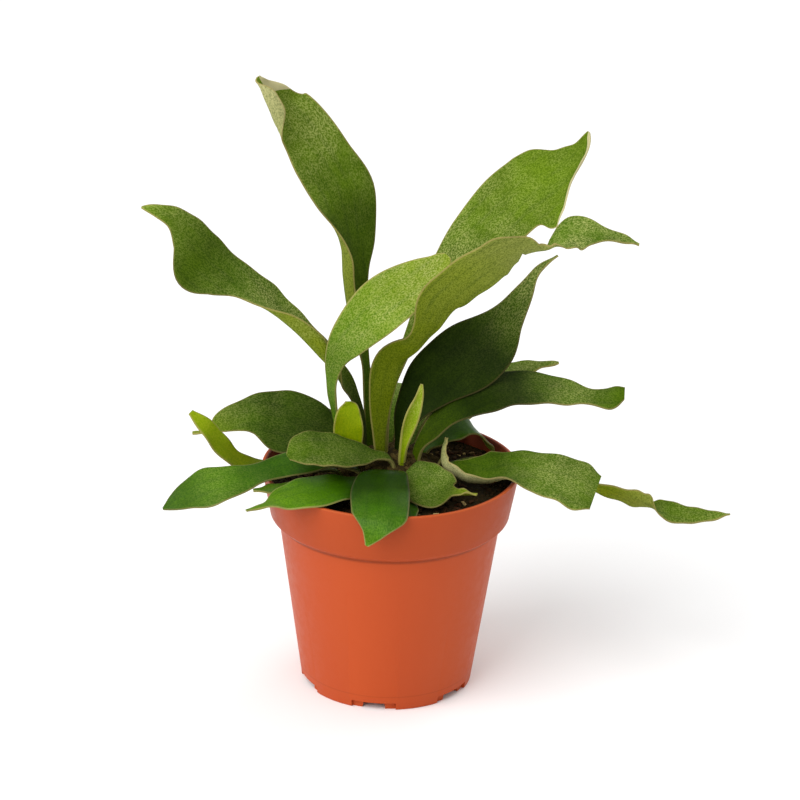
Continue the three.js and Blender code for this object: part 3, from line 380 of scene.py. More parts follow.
class Shading:
    """A node tree with short ways to add nodes, fed with plain values or other nodes' sockets."""

    def __init__(self, tree):
        self.tree = tree

    def feed(self, socket, value):
        if isinstance(value, bpy.types.NodeSocket):
            self.tree.links.new(value, socket)
        else:
            socket.default_value = value

    def put(self, kind, inputs=None, **settings):
        """Adds a node, feeds its inputs and gives its outputs."""
        made = self.tree.nodes.new(kind)
        for name, value in settings.items():
            setattr(made, name, value)
        for name, value in (inputs or {}).items():
            self.feed(made.inputs[name], value)
        return made.outputs

    def maths(self, operation, first, second):
        return self.put("ShaderNodeMath", {0: first, 1: second}, operation=operation)[0]

    def plus(self, first, second):
        return self.maths("ADD", first, second)

    def minus(self, first, second):
        return self.maths("SUBTRACT", first, second)

    def times(self, first, second):
        return self.maths("MULTIPLY", first, second)

    def mixed(self, factor, first, second, blend_type="MIX"):
        return self.put("ShaderNodeMix", {MIX_FACTOR: factor, MIX_FIRST: first, MIX_SECOND: second},
                        data_type="RGBA", blend_type=blend_type)[MIX_RESULT]

    def dimmed(self, body, light):
        """A colour times a level of light from 0 to 1."""
        grey = self.put("ShaderNodeCombineColor", {0: light, 1: light, 2: light})[0]
        return self.mixed(1.0, body, grey, "MULTIPLY")

    def ranged(self, value, low, high, to_low=0.0, to_high=1.0):
        """A soft step: one number where the value is low, and another where it is high."""
        return self.put("ShaderNodeMapRange", {
            "Value": value, "From Min": low, "From Max": high, "To Min": to_low, "To Max": to_high},
            interpolation_type="SMOOTHSTEP")["Result"]

    def clouds(self, vector, scale, detail=3.0, roughness=0.5):
        return self.put("ShaderNodeTexNoise", {
            "Vector": vector, "Scale": scale, "Detail": detail, "Roughness": roughness})["Fac"]

    def place(self):
        return self.put("ShaderNodeTexCoord")["Object"]

    def stretched(self, vector, scale):
        return self.put("ShaderNodeMapping", {"Vector": vector, "Scale": scale})[0]

    def map_of(self, name):
        return self.put("ShaderNodeUVMap", uv_map=name)["UV"]

    def attribute(self, name):
        return self.put("ShaderNodeAttribute", attribute_name=name)["Fac"]

    def attribute_parts(self, name):
        """The three numbers that a piece keeps in a colour attribute."""
        kept = self.put("ShaderNodeAttribute", attribute_name=name)["Color"]
        return self.put("ShaderNodeSeparateColor", {0: kept})

    def relief(self, height, strength, distance):
        return self.put("ShaderNodeBump", {
            "Height": height, "Strength": strength, "Distance": distance})["Normal"]


COLOUR = "NodeSocketColor"
NUMBER = "NodeSocketFloat"


def new_group(name, taken, given):
    """A shader node group with named sockets: its shading, and the sockets inside it."""
    tree = bpy.data.node_groups.new(name, "ShaderNodeTree")
    for in_out, sockets in (("INPUT", taken), ("OUTPUT", given)):
        for label, kind in sockets.items():
            tree.interface.new_socket(label, in_out=in_out, socket_type=kind)
    take = tree.nodes.new("NodeGroupInput").outputs
    give = tree.nodes.new("NodeGroupOutput").inputs
    return Shading(tree), take, give


# How fine the patterns are, in lumps per metre, or per metre across and along.
HAIR_STROKES = (2100, 900, 1)
HAIR_DOTS = 1900
HAIR_PATCHES = 85
VEINS = (420, 30, 1)
TISSUE_PATCHES = 55
CRUMB_PATCHES = 120
PEAT_GRAIN = 1100
HUSK_GRAIN = 700
PLASTIC_FLOW = 22
PLASTIC_SCUFFS = 260
PLASTIC_GRAIN = 900
FLOOR_PATCHES = 3
FLOW_STRETCH = (1, 1, 0.25)


def hair_group():
    """Fine pale hairs: dots and short strokes, thick in some patches and thin in others."""
    nodes, take, give = new_group("fern_hairs", {"Amount": NUMBER}, {"Mask": NUMBER, "Grain": NUMBER})
    place = nodes.place()
    strokes = nodes.clouds(nodes.stretched(nodes.map_of("spread"), HAIR_STROKES), 1.0, 2.0, 0.6)
    dots = nodes.clouds(place, HAIR_DOTS, 2.0, 0.6)
    patches = nodes.clouds(place, HAIR_PATCHES, 4.0, 0.65)
    grain = nodes.plus(nodes.times(strokes, 0.5), nodes.times(dots, 0.5))
    cover = nodes.times(nodes.ranged(patches, 0.3, 0.66, 0.3, 1.0), take["Amount"])
    nodes.feed(give["Mask"], nodes.times(cover, nodes.ranged(grain, 0.45, 0.58, 0.12, 1.0)))
    nodes.feed(give["Grain"], grain)
    return nodes.tree


def tissue_group():
    """Leaf tissue: patches, faint veins, a pale margin, a paler underside, youth, hairs and painted shade.
    """
    colours = ("Green", "Deep", "Young", "Under", "Felt", "Margin", "Hair")
    nodes, take, give = new_group(
        "fern_tissue", {**dict.fromkeys(colours, COLOUR), "Base roughness": NUMBER},
        {"Color": COLOUR, "Roughness": NUMBER, "Height": NUMBER})
    rim = nodes.put("ShaderNodeSeparateXYZ", {0: nodes.map_of("rim")})
    inset, side = rim["X"], rim["Y"]
    # The tissue attribute keeps youth, hair and painted shade.
    state = nodes.attribute_parts("tissue")
    youth, hairy, shade = state[0], state[1], state[2]
    under = nodes.ranged(side, 0.45, 0.55)
    bare = nodes.minus(1.0, nodes.times(under, 0.6))
    patches = nodes.ranged(nodes.clouds(nodes.place(), TISSUE_PATCHES, 4.0, 0.6), 0.35, 0.65)
    veins = nodes.clouds(nodes.stretched(nodes.map_of("spread"), VEINS), 1.0, 2.0)
    hairs = nodes.put("ShaderNodeGroup", {"Amount": hairy}, node_tree=hair_group())
    body = nodes.mixed(nodes.times(patches, 0.5), take["Green"], take["Deep"])
    body = nodes.mixed(nodes.times(youth, 0.9), body, take["Young"])
    below = nodes.mixed(nodes.times(nodes.attribute("felt"), 0.85), take["Under"], take["Felt"])
    body = nodes.mixed(nodes.times(under, 0.9), body, below)
    body = nodes.mixed(nodes.ranged(veins, 0.45, 0.7, 0.0, 0.3), body, take["Deep"])
    body = nodes.mixed(nodes.ranged(hairs["Grain"], 0.4, 0.56, 0.5, 0.0), body, take["Deep"])
    body = nodes.mixed(nodes.times(nodes.times(hairs["Mask"], 0.8), bare), body, take["Hair"])
    body = nodes.mixed(nodes.ranged(inset, 0.25 * MM, 0.8 * MM, 0.6, 0.0), body, take["Margin"])
    turned_over = nodes.ranged(nodes.minus(nodes.attribute("hem"), inset), 0.0, 0.3 * MM, 0.0, 0.9)
    body = nodes.mixed(turned_over, body, take["Felt"])
    # Painted shade: each frond's shade values darken its colour, less on the underside.
    light = nodes.minus(1.0, nodes.times(nodes.times(shade, 0.8), bare))
    nodes.feed(give["Color"], nodes.dimmed(body, light))
    rough = nodes.plus(nodes.times(hairy, 0.3), nodes.times(under, 0.12))
    nodes.feed(give["Roughness"], nodes.plus(take["Base roughness"], rough))
    nodes.feed(give["Height"], nodes.plus(nodes.times(veins, 0.6), nodes.times(hairs["Mask"], 0.25)))
    return nodes.tree


def crumble_group():
    """The dark, crumbly grain of peat and husk, with reddish and pale bits."""
    nodes, take, give = new_group(
        "fern_crumble", {"Dark": COLOUR, "Light": COLOUR, "Pale": COLOUR, "Scale": NUMBER},
        {"Color": COLOUR, "Height": NUMBER})
    place = nodes.place()
    fine = nodes.clouds(place, take["Scale"], 5.0, 0.65)
    crumb = nodes.attribute_parts("crumb")
    woody = nodes.plus(nodes.ranged(nodes.clouds(place, CRUMB_PATCHES), 0.55, 0.75, 0.0, 0.35), crumb[0])
    body = nodes.mixed(woody, take["Dark"], take["Light"])
    body = nodes.mixed(crumb[1], body, take["Pale"])
    body = nodes.mixed(nodes.ranged(fine, 0.35, 0.6, 0.55, 0.0), body, take["Dark"])
    nodes.feed(give["Color"], body)
    nodes.feed(give["Height"], fine)
    return nodes.tree


def opaque(rgb):
    return (*rgb, 1.0)


def new_material(name):
    """A material, its shading and the inputs of its Principled shader."""
    made = bpy.data.materials.new(name)
    made.use_nodes = True
    return made, Shading(made.node_tree), made.node_tree.nodes["Principled BSDF"].inputs


def frond_material(name, group, green, deep, roughness, shine):
    s = bpy.context.scene.fern_fronds
    made, nodes, shader = new_material(name)
    tissue = nodes.put("ShaderNodeGroup", {
        "Green": opaque(green), "Deep": opaque(deep), "Young": opaque(s.yellow),
        "Under": opaque(s.under), "Felt": opaque(s.felt), "Margin": opaque(s.margin),
        "Hair": opaque(s.hair), "Base roughness": roughness}, node_tree=group)
    nodes.feed(shader["Base Color"], tissue["Color"])
    nodes.feed(shader["Roughness"], tissue["Roughness"])
    nodes.feed(shader["Specular IOR Level"], shine)
    nodes.feed(shader["Normal"], nodes.relief(tissue["Height"], 0.35, 0.4 * MM))
    return made


def frond_materials():
    """One material for each look: hairy grey-green, glossy bright green and young yellow-green."""
    s = bpy.context.scene.fern_fronds
    group = tissue_group()
    return {
        "grey": frond_material("hairy_frond", group, s.grey, s.grey_deep, roughness=0.55, shine=0.05),
        "bright": frond_material("glossy_frond", group, s.bright, s.bright_deep, roughness=0.34, shine=0.1),
        "yellow": frond_material("young_frond", group, s.yellow, s.yellow_deep, roughness=0.45, shine=0.06),
    }


def plastic_material():
    """Plastic with slight wear, darker on the band and mould line, painted shadow under the band, painted
    shade inside the rim and a painted highlight on its outer edge.
    """
    s = bpy.context.scene.fern_pot
    made, nodes, shader = new_material("moulded_plastic")
    place = nodes.place()
    height = nodes.put("ShaderNodeSeparateXYZ", {0: place})["Z"]
    flat = nodes.put("ShaderNodeMapping", {"Vector": place, "Location": -POT_AXIS, "Scale": (1, 1, 0)})
    radius = nodes.put("ShaderNodeVectorMath", {0: flat[0]}, operation="LENGTH")["Value"]

    def line(at, starts, full, fades, ends, darkness):
        """A dark line round the pot, which starts, is full, fades and ends in mm from a height."""
        rise = nodes.ranged(height, at + starts * MM, at + full * MM, 0.0, darkness)
        fall = nodes.ranged(height, at + fades * MM, at + ends * MM, 0.0, darkness)
        return nodes.minus(rise, fall)

    # Painted shadow: a dark line along the step under the band.
    painted_shadow_under_band = line(s.step_height, starts=-1, full=0.3, fades=1.2, ends=2.5, darkness=0.4)
    mould_line = line(s.mould_line, starts=-0.7, full=0, fades=0, ends=0.3, darkness=0.14)
    band_foot = s.band_foot_height
    band = nodes.ranged(height, s.step_height, band_foot + 1 * MM, 0.0, 0.16)
    outside = nodes.ranged(height, band_foot, s.height, s.band_foot_radius, s.rim_radius)
    depth = nodes.minus(outside, radius)
    # Painted shade: the inside of the wall near the rim is darkened.
    inside = nodes.times(nodes.ranged(depth, 0.8 * MM, 1.5 * MM, 0.0, 0.5),
                         nodes.ranged(height, band_foot + 2 * MM, band_foot + 4 * MM))
    # Painted highlight: the outer edge of the rim's top is lightened.
    lip = nodes.times(nodes.ranged(height, s.height - 1 * MM, s.height, 0.0, 0.7),
                      nodes.ranged(depth, 0.3 * MM, 1 * MM, 1.0, 0.3))
    flow = nodes.clouds(nodes.stretched(place, FLOW_STRETCH), PLASTIC_FLOW)
    scuffs = nodes.clouds(place, PLASTIC_SCUFFS, 4.0, 0.7)
    worn_and_highlight = opaque(s.worn_and_highlight)
    body = nodes.mixed(nodes.ranged(flow, 0.3, 0.75, 0.0, 0.2), opaque(s.plastic), worn_and_highlight)
    body = nodes.mixed(nodes.ranged(scuffs, 0.62, 0.78, 0.0, 0.2), body, worn_and_highlight)
    body = nodes.mixed(lip, body, worn_and_highlight)
    # The darker tone of the band and the mould line, with the painted shadow and painted shade.
    dark = nodes.plus(band, nodes.plus(nodes.plus(painted_shadow_under_band, mould_line), inside))
    nodes.feed(shader["Base Color"], nodes.dimmed(body, nodes.minus(1.0, dark)))
    nodes.feed(shader["Roughness"], nodes.ranged(scuffs, 0.3, 0.7, 0.38, 0.5))
    nodes.feed(shader["Specular IOR Level"], 0.12)
    nodes.feed(shader["Normal"], nodes.relief(nodes.clouds(place, PLASTIC_GRAIN), 0.12, 0.2 * MM))
    return made


def crumbly_material(name, dark, light, pale, scale, distance):
    made, nodes, shader = new_material(name)
    crumble = nodes.put("ShaderNodeGroup", {
        "Dark": opaque(dark), "Light": opaque(light), "Pale": opaque(pale), "Scale": scale},
        node_tree=bpy.data.node_groups.get("fern_crumble") or crumble_group())
    nodes.feed(shader["Base Color"], crumble["Color"])
    nodes.feed(shader["Roughness"], 0.9)
    nodes.feed(shader["Specular IOR Level"], 0.08)
    nodes.feed(shader["Normal"], nodes.relief(crumble["Height"], 0.6, distance))
    return made


def add_object(name, data):
    """An object at the origin of the scene."""
    made = bpy.data.objects.new(name, data)
    bpy.context.scene.collection.objects.link(made)
    return made


def as_object(bm, name):
    """Turns a bmesh into an object."""
    mesh = bpy.data.meshes.new(name)
    bm.to_mesh(mesh)
    bm.free()
    return add_object(name, mesh)


def smoothed(mesh, degrees):
    """Shades a mesh smooth, with its edges left sharp past an angle."""
    mesh.shade_smooth()
    mesh.set_sharp_from_angle(angle=math.radians(degrees))


def finished(bm, name, material, node):
    """Turns a bmesh into a piece that replaces a node of the frame and rides on it."""
    piece = as_object(bm, name)
    piece.data.materials.append(material)
    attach(piece, "root")
    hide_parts(node)
    return piece


def turned(outline, steps):
    """A closed solid about the Z axis, from points of radius and height that start and end on it."""
    bm = bmesh.new()
    verts = [bm.verts.new((radius, 0, height)) for radius, height in outline]
    for ends in zip(verts, verts[1:]):
        bm.edges.new(ends)
    bmesh.ops.spin(bm, geom=bm.verts[:] + bm.edges[:], cent=(0, 0, 0), axis=(0, 0, 1),
                   dvec=(0, 0, 0), angle=2 * math.pi, steps=steps, use_merge=True)
    bmesh.ops.remove_doubles(bm, verts=bm.verts, dist=WELD)
    bmesh.ops.recalc_face_normals(bm, faces=bm.faces)
    return bm


NOTCH_HALF_ANGLE = math.radians(15)
NOTCH_FRONT_ANGLE = math.radians(-98)
NOTCH_STEPS = 8
OVERRUN = 2 * MM


def sector(inner, outer, low, high):
    """A notch's slice of a ring, centred on +X, between two heights."""
    bm = bmesh.new()
    side, ahead = math.sin(NOTCH_HALF_ANGLE), math.cos(NOTCH_HALF_ANGLE)
    for radius in (inner, outer):
        start = bm.verts.new((radius * ahead, -radius * side, low))
        bmesh.ops.spin(bm, geom=[start], cent=(0, 0, 0), axis=(0, 0, 1), dvec=(0, 0, 0),
                       angle=2 * NOTCH_HALF_ANGLE, steps=NOTCH_STEPS)
    bmesh.ops.bridge_loops(bm, edges=bm.edges[:])
    extruded = bmesh.ops.extrude_face_region(bm, geom=bm.faces[:])
    lifted = [item for item in extruded["geom"] if isinstance(item, bmesh.types.BMVert)]
    bmesh.ops.translate(bm, verts=lifted, vec=(0, 0, high - low))
    bmesh.ops.recalc_face_normals(bm, faces=bm.faces)
    return bm


def wedge(near, far, foot, head, low, high):
    """A bar along +X whose section is narrower at its head than at its foot."""
    bm = bmesh.new()
    bmesh.ops.create_cube(bm, size=1)
    for vert in bm.verts:
        top = vert.co.z > 0
        reach = far if vert.co.x > 0 else near
        vert.co = (reach, math.copysign(head if top else foot, vert.co.y), high if top else low)
    return bm


def notch_cutters(s, number):
    """What one notch takes from the foot: a recess that leaves a lip, and an opening in the lip."""
    outside = s.foot_radius + OVERRUN
    recess = sector(s.foot_radius - s.notch_depth, outside, -OVERRUN, s.notch_height)
    head = s.notch_opening / 2
    opening = wedge(s.foot_radius - s.foot_ring - OVERRUN, outside, head + s.notch_flare, head,
                    -OVERRUN, s.notch_height)
    turn = Matrix.Rotation(NOTCH_FRONT_ANGLE + 2 * math.pi * number / s.notch_count, 4, "Z")
    for bm in (recess, opening):
        bmesh.ops.transform(bm, matrix=turn, verts=bm.verts)
    return recess, opening


def cut_away(piece, bm):
    """Takes a cutter's shape out of a piece for good."""
    cutter = as_object(bm, "cutter")
    modifier = piece.modifiers.new("cut", "BOOLEAN")
    modifier.object = cutter
    modifier.operation = "DIFFERENCE"
    modifier.solver = "EXACT"
    bpy.context.view_layer.update()
    graph = bpy.context.evaluated_depsgraph_get()
    cut = bpy.data.meshes.new_from_object(piece.evaluated_get(graph))
    piece.modifiers.clear()
    piece.data = cut
    bpy.data.objects.remove(cutter)


def pot_outline(s):
    """The pot's wall as radius and height, from the floor's middle round the outside and back."""
    floor_top = s.floor_height + s.floor_thickness
    taper = (s.step_radius - s.foot_radius) / s.step_height
    ring = s.foot_radius - s.foot_ring
    return [
        (0, s.floor_height), (ring, s.floor_height), (ring, 0),
        (s.foot_radius, 0), (s.step_radius, s.step_height),
        (s.band_foot_radius, s.band_foot_height), (s.rim_radius, s.height),
        (s.rim_radius - s.lip_width, s.height),
        (s.band_foot_radius - s.wall, s.band_foot_height + s.step_inside_rise),
        (s.step_radius - s.wall, s.step_height),
        (s.foot_radius + taper * floor_top - s.wall, floor_top), (0, floor_top),
    ]


POT_STEPS = 160
POT_SMOOTH_DEGREES = 35
BEVELLED_FROM = math.radians(12)
BEVEL_SEGMENTS = 3


class FERN_OT_pot(bpy.types.Operator):
    """Add the nursery pot with its rim band, step, floor and notched foot"""
    bl_idname = "fern.add_pot"
    bl_label = "Pot"

    def execute(self, context):
        s = context.scene.fern_pot
        bm = turned(pot_outline(s), POT_STEPS)
        corners = [edge for edge in bm.edges if edge.calc_face_angle(0) > BEVELLED_FROM]
        bmesh.ops.bevel(bm, geom=corners, affect="EDGES", offset=s.edge, segments=BEVEL_SEGMENTS,
                        profile=0.5, material=-1, clamp_overlap=True)
        piece = finished(bm, "nursery_pot", plastic_material(), "pot")
        for number in range(s.notch_count):
            for cutter in notch_cutters(s, number):
                cut_away(piece, cutter)
        piece.data.transform(Matrix.Translation(POT_AXIS))
        smoothed(piece.data, POT_SMOOTH_DEGREES)
        return {"FINISHED"}


HEAP_SCALE = 45
CRUMB_SCALE = 420
GRAIN_SCALE = 900
GRAIN_SHIFT = Vector((7, 3, 1))
HEAP_SHARE, CRUMB_SHARE, GRAIN_SHARE = 0.7, 0.55, 0.3


def crumb_height(place):
    """How high the mix stands over its level, as a share: broad heaps, crumbs and their gaps."""
    broad = noise.fractal(place * HEAP_SCALE, 1.0, 2.0, 2)
    crumbs = noise.voronoi(place * CRUMB_SCALE)[0][0]
    small = noise.voronoi(place * GRAIN_SCALE + GRAIN_SHIFT)[0][0]
    return HEAP_SHARE * broad + CRUMB_SHARE * (0.5 - crumbs) + GRAIN_SHARE * (0.5 - small)


def jitter(rng, amount):
    return Vector([rng.uniform(-amount, amount) for _ in range(3)])


def crumb_tint(rng):
    return (rng.uniform(0.0, 0.45), 0, 0, 1)


def chip_tint(rng):
    return (rng.uniform(0.5, 1.0), rng.choice((0, 0, 0, 0.25, 0.8)), 0, 1)


CRUMB = {"gap": 1 * MM, "radii": (0.45 * MM, 1.3 * MM), "stretch": (1.0, 1.5), "tint": crumb_tint}
CHIP = {"gap": 2.5 * MM, "radii": (0.6 * MM, 1.3 * MM), "stretch": (1.6, 3.4), "tint": chip_tint}
BIT_PROUD = 0.25
BIT_FLATNESS = (0.5, 0.9)
BIT_TILT = 0.5
BIT_ROUGHNESS = 0.22


def scatter_bits(bm, layer, s, rng, amount, reach, gap, radii, stretch, tint):
    """Small rough bits half sunk in the surface of the mix, up to a gap short of its reach."""
    for _ in range(amount):
        from_axis = (reach - gap) * math.sqrt(rng.random())
        turn = rng.uniform(0, 2 * math.pi)
        radius = rng.uniform(*radii)
        place = Vector((from_axis * math.cos(turn), from_axis * math.sin(turn), 0))
        place.z = s.level + crumb_height(place) * s.crumb_height + radius * BIT_PROUD
        shape = Matrix.Diagonal((radius * rng.uniform(*stretch), radius,
                                 radius * rng.uniform(*BIT_FLATNESS), 1))
        lie = Matrix.Rotation(rng.uniform(0, 2 * math.pi), 4, "Z")
        lie = lie @ Matrix.Rotation(rng.uniform(-BIT_TILT, BIT_TILT), 4, "Y")
        made = bmesh.ops.create_icosphere(bm, subdivisions=1, radius=1,
                                          matrix=Matrix.Translation(place) @ lie @ shape)
        shade = tint(rng)
        for vert in made["verts"]:
            vert.co += jitter(rng, BIT_ROUGHNESS * radius)
            vert[layer] = shade


MIX_RINGS = 58
MIX_STEPS = 210
MIX_SMOOTH_DEGREES = 50
MIX_SEED = 7
# The mix has its corners this far above those on the pot's outside.
BAND_CORNER_RISE = 3 * MM
STEP_CORNER_RISE = 2 * MM


class FERN_OT_mix(bpy.types.Operator):
    """Add the potting mix with its crumbs of peat and chips of bark"""
    bl_idname = "fern.add_mix"
    bl_label = "Potting mix"

    def execute(self, context):
        s = context.scene.fern_mix
        pot = context.scene.fern_pot
        rise = (s.level - pot.band_foot_height) / (pot.height - pot.band_foot_height)
        wall_foot = pot.band_foot_radius - pot.wall
        reach = wall_foot + (pot.rim_radius - pot.lip_width - wall_foot) * rise - s.clearance
        bottom = pot.floor_height + pot.floor_thickness + s.clearance
        surface = [(reach * ring / MIX_RINGS, s.level) for ring in range(MIX_RINGS + 1)]
        side = [(wall_foot - s.clearance, pot.band_foot_height + BAND_CORNER_RISE),
                (pot.step_radius - pot.wall - s.clearance, pot.step_height + STEP_CORNER_RISE),
                (pot.foot_radius - pot.wall - s.clearance, bottom), (0, bottom)]
        bm = turned(surface + side, MIX_STEPS)
        layer = bm.verts.layers.float_color.new("crumb")
        for vert in bm.verts:
            vert[layer] = (0, 0, 0, 1)
            if abs(vert.co.z - s.level) < WELD:
                vert.co.z += crumb_height(vert.co) * s.crumb_height
        rng = random.Random(MIX_SEED)
        scatter_bits(bm, layer, s, rng, s.crumbs, reach, **CRUMB)
        scatter_bits(bm, layer, s, rng, s.chips, reach, **CHIP)
        bmesh.ops.translate(bm, verts=bm.verts, vec=POT_AXIS)
        material = crumbly_material("peat_and_bark", s.peat, s.bark, s.pale, PEAT_GRAIN, 0.6 * MM)
        piece = finished(bm, "potting_mix", material, "mix")
        smoothed(piece.data, MIX_SMOOTH_DEGREES)
        return {"FINISHED"}


CROWN_CENTRE = Vector((0, 4 * MM, 90 * MM))
CROWN_SMOOTH_DEGREES = 40
CROWN_SEED = 11
GOLDEN_ANGLE = math.pi * (3 - math.sqrt(5))
# Shares of the crown's half sizes: its body, its lumps, where the scales sit and how far down they go.
CROWN_BODY, CROWN_LUMPS, SCALE_SEAT, SCALE_REACH = 0.96, 0.06, 0.95, 0.92
LUMP_SCALE = 3
CROWN_SHADE = 0.2
TURN_SPREAD = 0.2
LEAN_SPREAD = 0.25
SCALE_LENGTHS = (0.6, 1.15)
SCALE_THICKNESS = 0.2 * MM
LEAST_LEAN = 1e-4
# Shares of a scale's length.
SCALE_HALF_WIDTH, SCALE_ARCH, SCALE_HOLLOW, SCALE_LIFT = 0.3, 0.22, 0.12, 0.1
# How much of the full outline is cut off at a scale's foot, how full it is, and how far it bows over.
SCALE_CUT, SCALE_FULLNESS, SCALE_BOW = 0.18, 0.8, 0.7


def add_scale(bm, layer, place, outward, length, shade):
    """One papery scale that lies on the crown with its point outward."""
    made = bmesh.ops.create_grid(bm, x_segments=2, y_segments=4, size=1)
    level = Vector((0, 0, 1)).cross(outward)
    across = level.normalized() if level.length > LEAST_LEAN else Vector((1, 0, 0))
    along = across.cross(outward).normalized()
    for vert in made["verts"]:
        way = (vert.co.y + 1) / 2
        outline = math.sin(math.pi * min(SCALE_CUT + way * (1 - SCALE_CUT), 1)) ** SCALE_FULLNESS
        half = SCALE_HALF_WIDTH * length * outline
        side = vert.co.x
        arch = SCALE_ARCH * length * math.sin(math.pi * way * SCALE_BOW)
        arch -= SCALE_HOLLOW * length * side * side
        vert.co = (place + along * (way * length) + across * (side * half)
                   + outward * (arch + SCALE_LIFT * length))
        vert[layer] = shade
    faces = list({face for vert in made["verts"] for face in vert.link_faces})
    bmesh.ops.solidify(bm, geom=faces, thickness=SCALE_THICKNESS)


class FERN_OT_crown(bpy.types.Operator):
    """Add the scaly crown that the fronds grow from"""
    bl_idname = "fern.add_crown"
    bl_label = "Crown"

    def execute(self, context):
        s = context.scene.fern_crown
        radii = Vector((s.width, s.depth, s.rise))
        bm = bmesh.new()
        bmesh.ops.create_icosphere(bm, subdivisions=5, radius=1)
        layer = bm.verts.layers.float_color.new("crumb")
        for vert in bm.verts:
            lump = CROWN_LUMPS * noise.fractal(vert.co * LUMP_SCALE, 1.0, 2.0, 4)
            vert.co = CROWN_CENTRE + vert.co * radii * (CROWN_BODY + lump)
            vert[layer] = (CROWN_SHADE, 0, 0, 1)
        rng = random.Random(CROWN_SEED)
        for number in range(s.scales):
            height = 1 - SCALE_REACH * (number + 0.5) / s.scales
            ring = math.sqrt(1 - height * height)
            turn = number * GOLDEN_ANGLE + rng.uniform(-TURN_SPREAD, TURN_SPREAD)
            normal = Vector((ring * math.cos(turn), ring * math.sin(turn), height))
            outward = Vector((normal.x / radii.x, normal.y / radii.y, normal.z / radii.z)).normalized()
            outward = (outward + jitter(rng, LEAN_SPREAD)).normalized()
            shade = (rng.uniform(0.1, 1.0), rng.choice((0, 0, 0.3)), 0, 1)
            add_scale(bm, layer, CROWN_CENTRE + normal * radii * SCALE_SEAT, outward,
                      s.scale_length * rng.uniform(*SCALE_LENGTHS), shade)
        bmesh.ops.translate(bm, verts=bm.verts, vec=POT_AXIS)
        material = crumbly_material("crown_husk", s.husk, s.fresh, s.fresh, HUSK_GRAIN, 0.4 * MM)
        piece = finished(bm, "crown_scales", material, "crown")
        smoothed(piece.data, CROWN_SMOOTH_DEGREES)
        return {"FINISHED"}


def whole_row(x, y, z, left, right=None, roll=0, curl_left=0, curl_right=0):
    """A station's eight numbers, where the right half is as wide as the left one unless it is given."""
    return (x, y, z, left, left if right is None else right, roll, curl_left, curl_right)


def row_at(rows, place):
    """A Catmull-Rom curve through rows of numbers, at a place measured in stations."""
    last = len(rows) - 1
    start = min(int(place), last - 1)
    t = place - start
    a, b, c, d = (rows[min(max(start + step, 0), last)] for step in (-1, 0, 1, 2))
    return [
        q + 0.5 * ((r - p) * t + (2 * p - 5 * q + 4 * r - s) * t ** 2 + (3 * q - p - 3 * r + s) * t ** 3)
        for p, q, r, s in zip(a, b, c, d)]


def spaced(values, way):
    """A value given at evenly spaced places, at a share of the way from the first to the last."""
    place = way * (len(values) - 1)
    start = min(int(place), len(values) - 2)
    return values[start] + (values[start + 1] - values[start]) * (place - start)


TANGENT_STEP = 0.02
STALK_STATIONS = 2
LEAST_HALF_WIDTH = 0.5 * MM
LEAST_CURL = 0.001
RIPPLE_RATE = 5
RIPPLE_SHIFT = 1.7
MARGIN_CROWDING = 1.7
BLADE_SMOOTH_DEGREES = 60


class Section:
    """A frond's cross-section at a place, measured in stations."""

    def __init__(self, rows, heading, place, settings):
        row = row_at(rows, place)
        before = Vector(row_at(rows, max(place - TANGENT_STEP, 0))[:3])
        after = Vector(row_at(rows, min(place + TANGENT_STEP, len(rows) - 1))[:3])
        along = (after - before).normalized()
        across = Vector((math.sin(heading), -math.cos(heading), 0))
        across = (across - along * across.dot(along)).normalized()
        self.across = Matrix.Rotation(-math.radians(row[5]), 3, along) @ across
        self.up = self.across.cross(along)
        self.middle = Vector(row[:3]) * MM
        self.widths = [max(width * MM, LEAST_HALF_WIDTH) for width in row[3:5]]
        self.curls = [math.radians(degrees) for degrees in row[6:8]]
        share_of_stalk = min(place / STALK_STATIONS, 1)
        stalk = 1 - share_of_stalk * share_of_stalk * (3 - 2 * share_of_stalk)
        self.half = (settings.blade + (settings.stalk - settings.blade) * stalk) / 2
        self.ripple = settings.ripple * (1 - stalk)
        self.place = place

    def width(self, u):
        return self.widths[0 if u < 0 else 1]

    def point(self, u, side):
        """The point at u, from -1 at the left edge to 1, on the upper side (1) or the lower (-1)."""
        width = self.width(u)
        curl = self.curls[0 if u < 0 else 1]
        turn = curl * abs(u)
        flat = abs(curl) < LEAST_CURL
        aside = width * abs(u) if flat else width / curl * math.sin(turn)
        lift = 0 if flat else width / curl * (1 - math.cos(turn))
        ripple_turn = self.place * RIPPLE_RATE + math.copysign(RIPPLE_SHIFT, u)
        lift += self.ripple * u * u * math.sin(ripple_turn)
        sign = math.copysign(1, u) if u else 0
        normal = self.up * math.cos(turn) - self.across * (sign * math.sin(turn))
        rounding = min(self.half / width, 1)
        inward = (abs(u) - (1 - rounding)) / rounding
        half = self.half * math.sqrt(max(1 - max(inward, 0) ** 2, 0))
        return self.middle + self.across * (sign * aside) + self.up * lift + normal * (half * side)


def column_places(columns):
    """Places across a blade from -1 to 1, closer together towards the margins."""
    steps = [2 * index / columns - 1 for index in range(columns + 1)]
    return [math.copysign(1 - (1 - abs(step)) ** MARGIN_CROWDING, step) for step in steps]


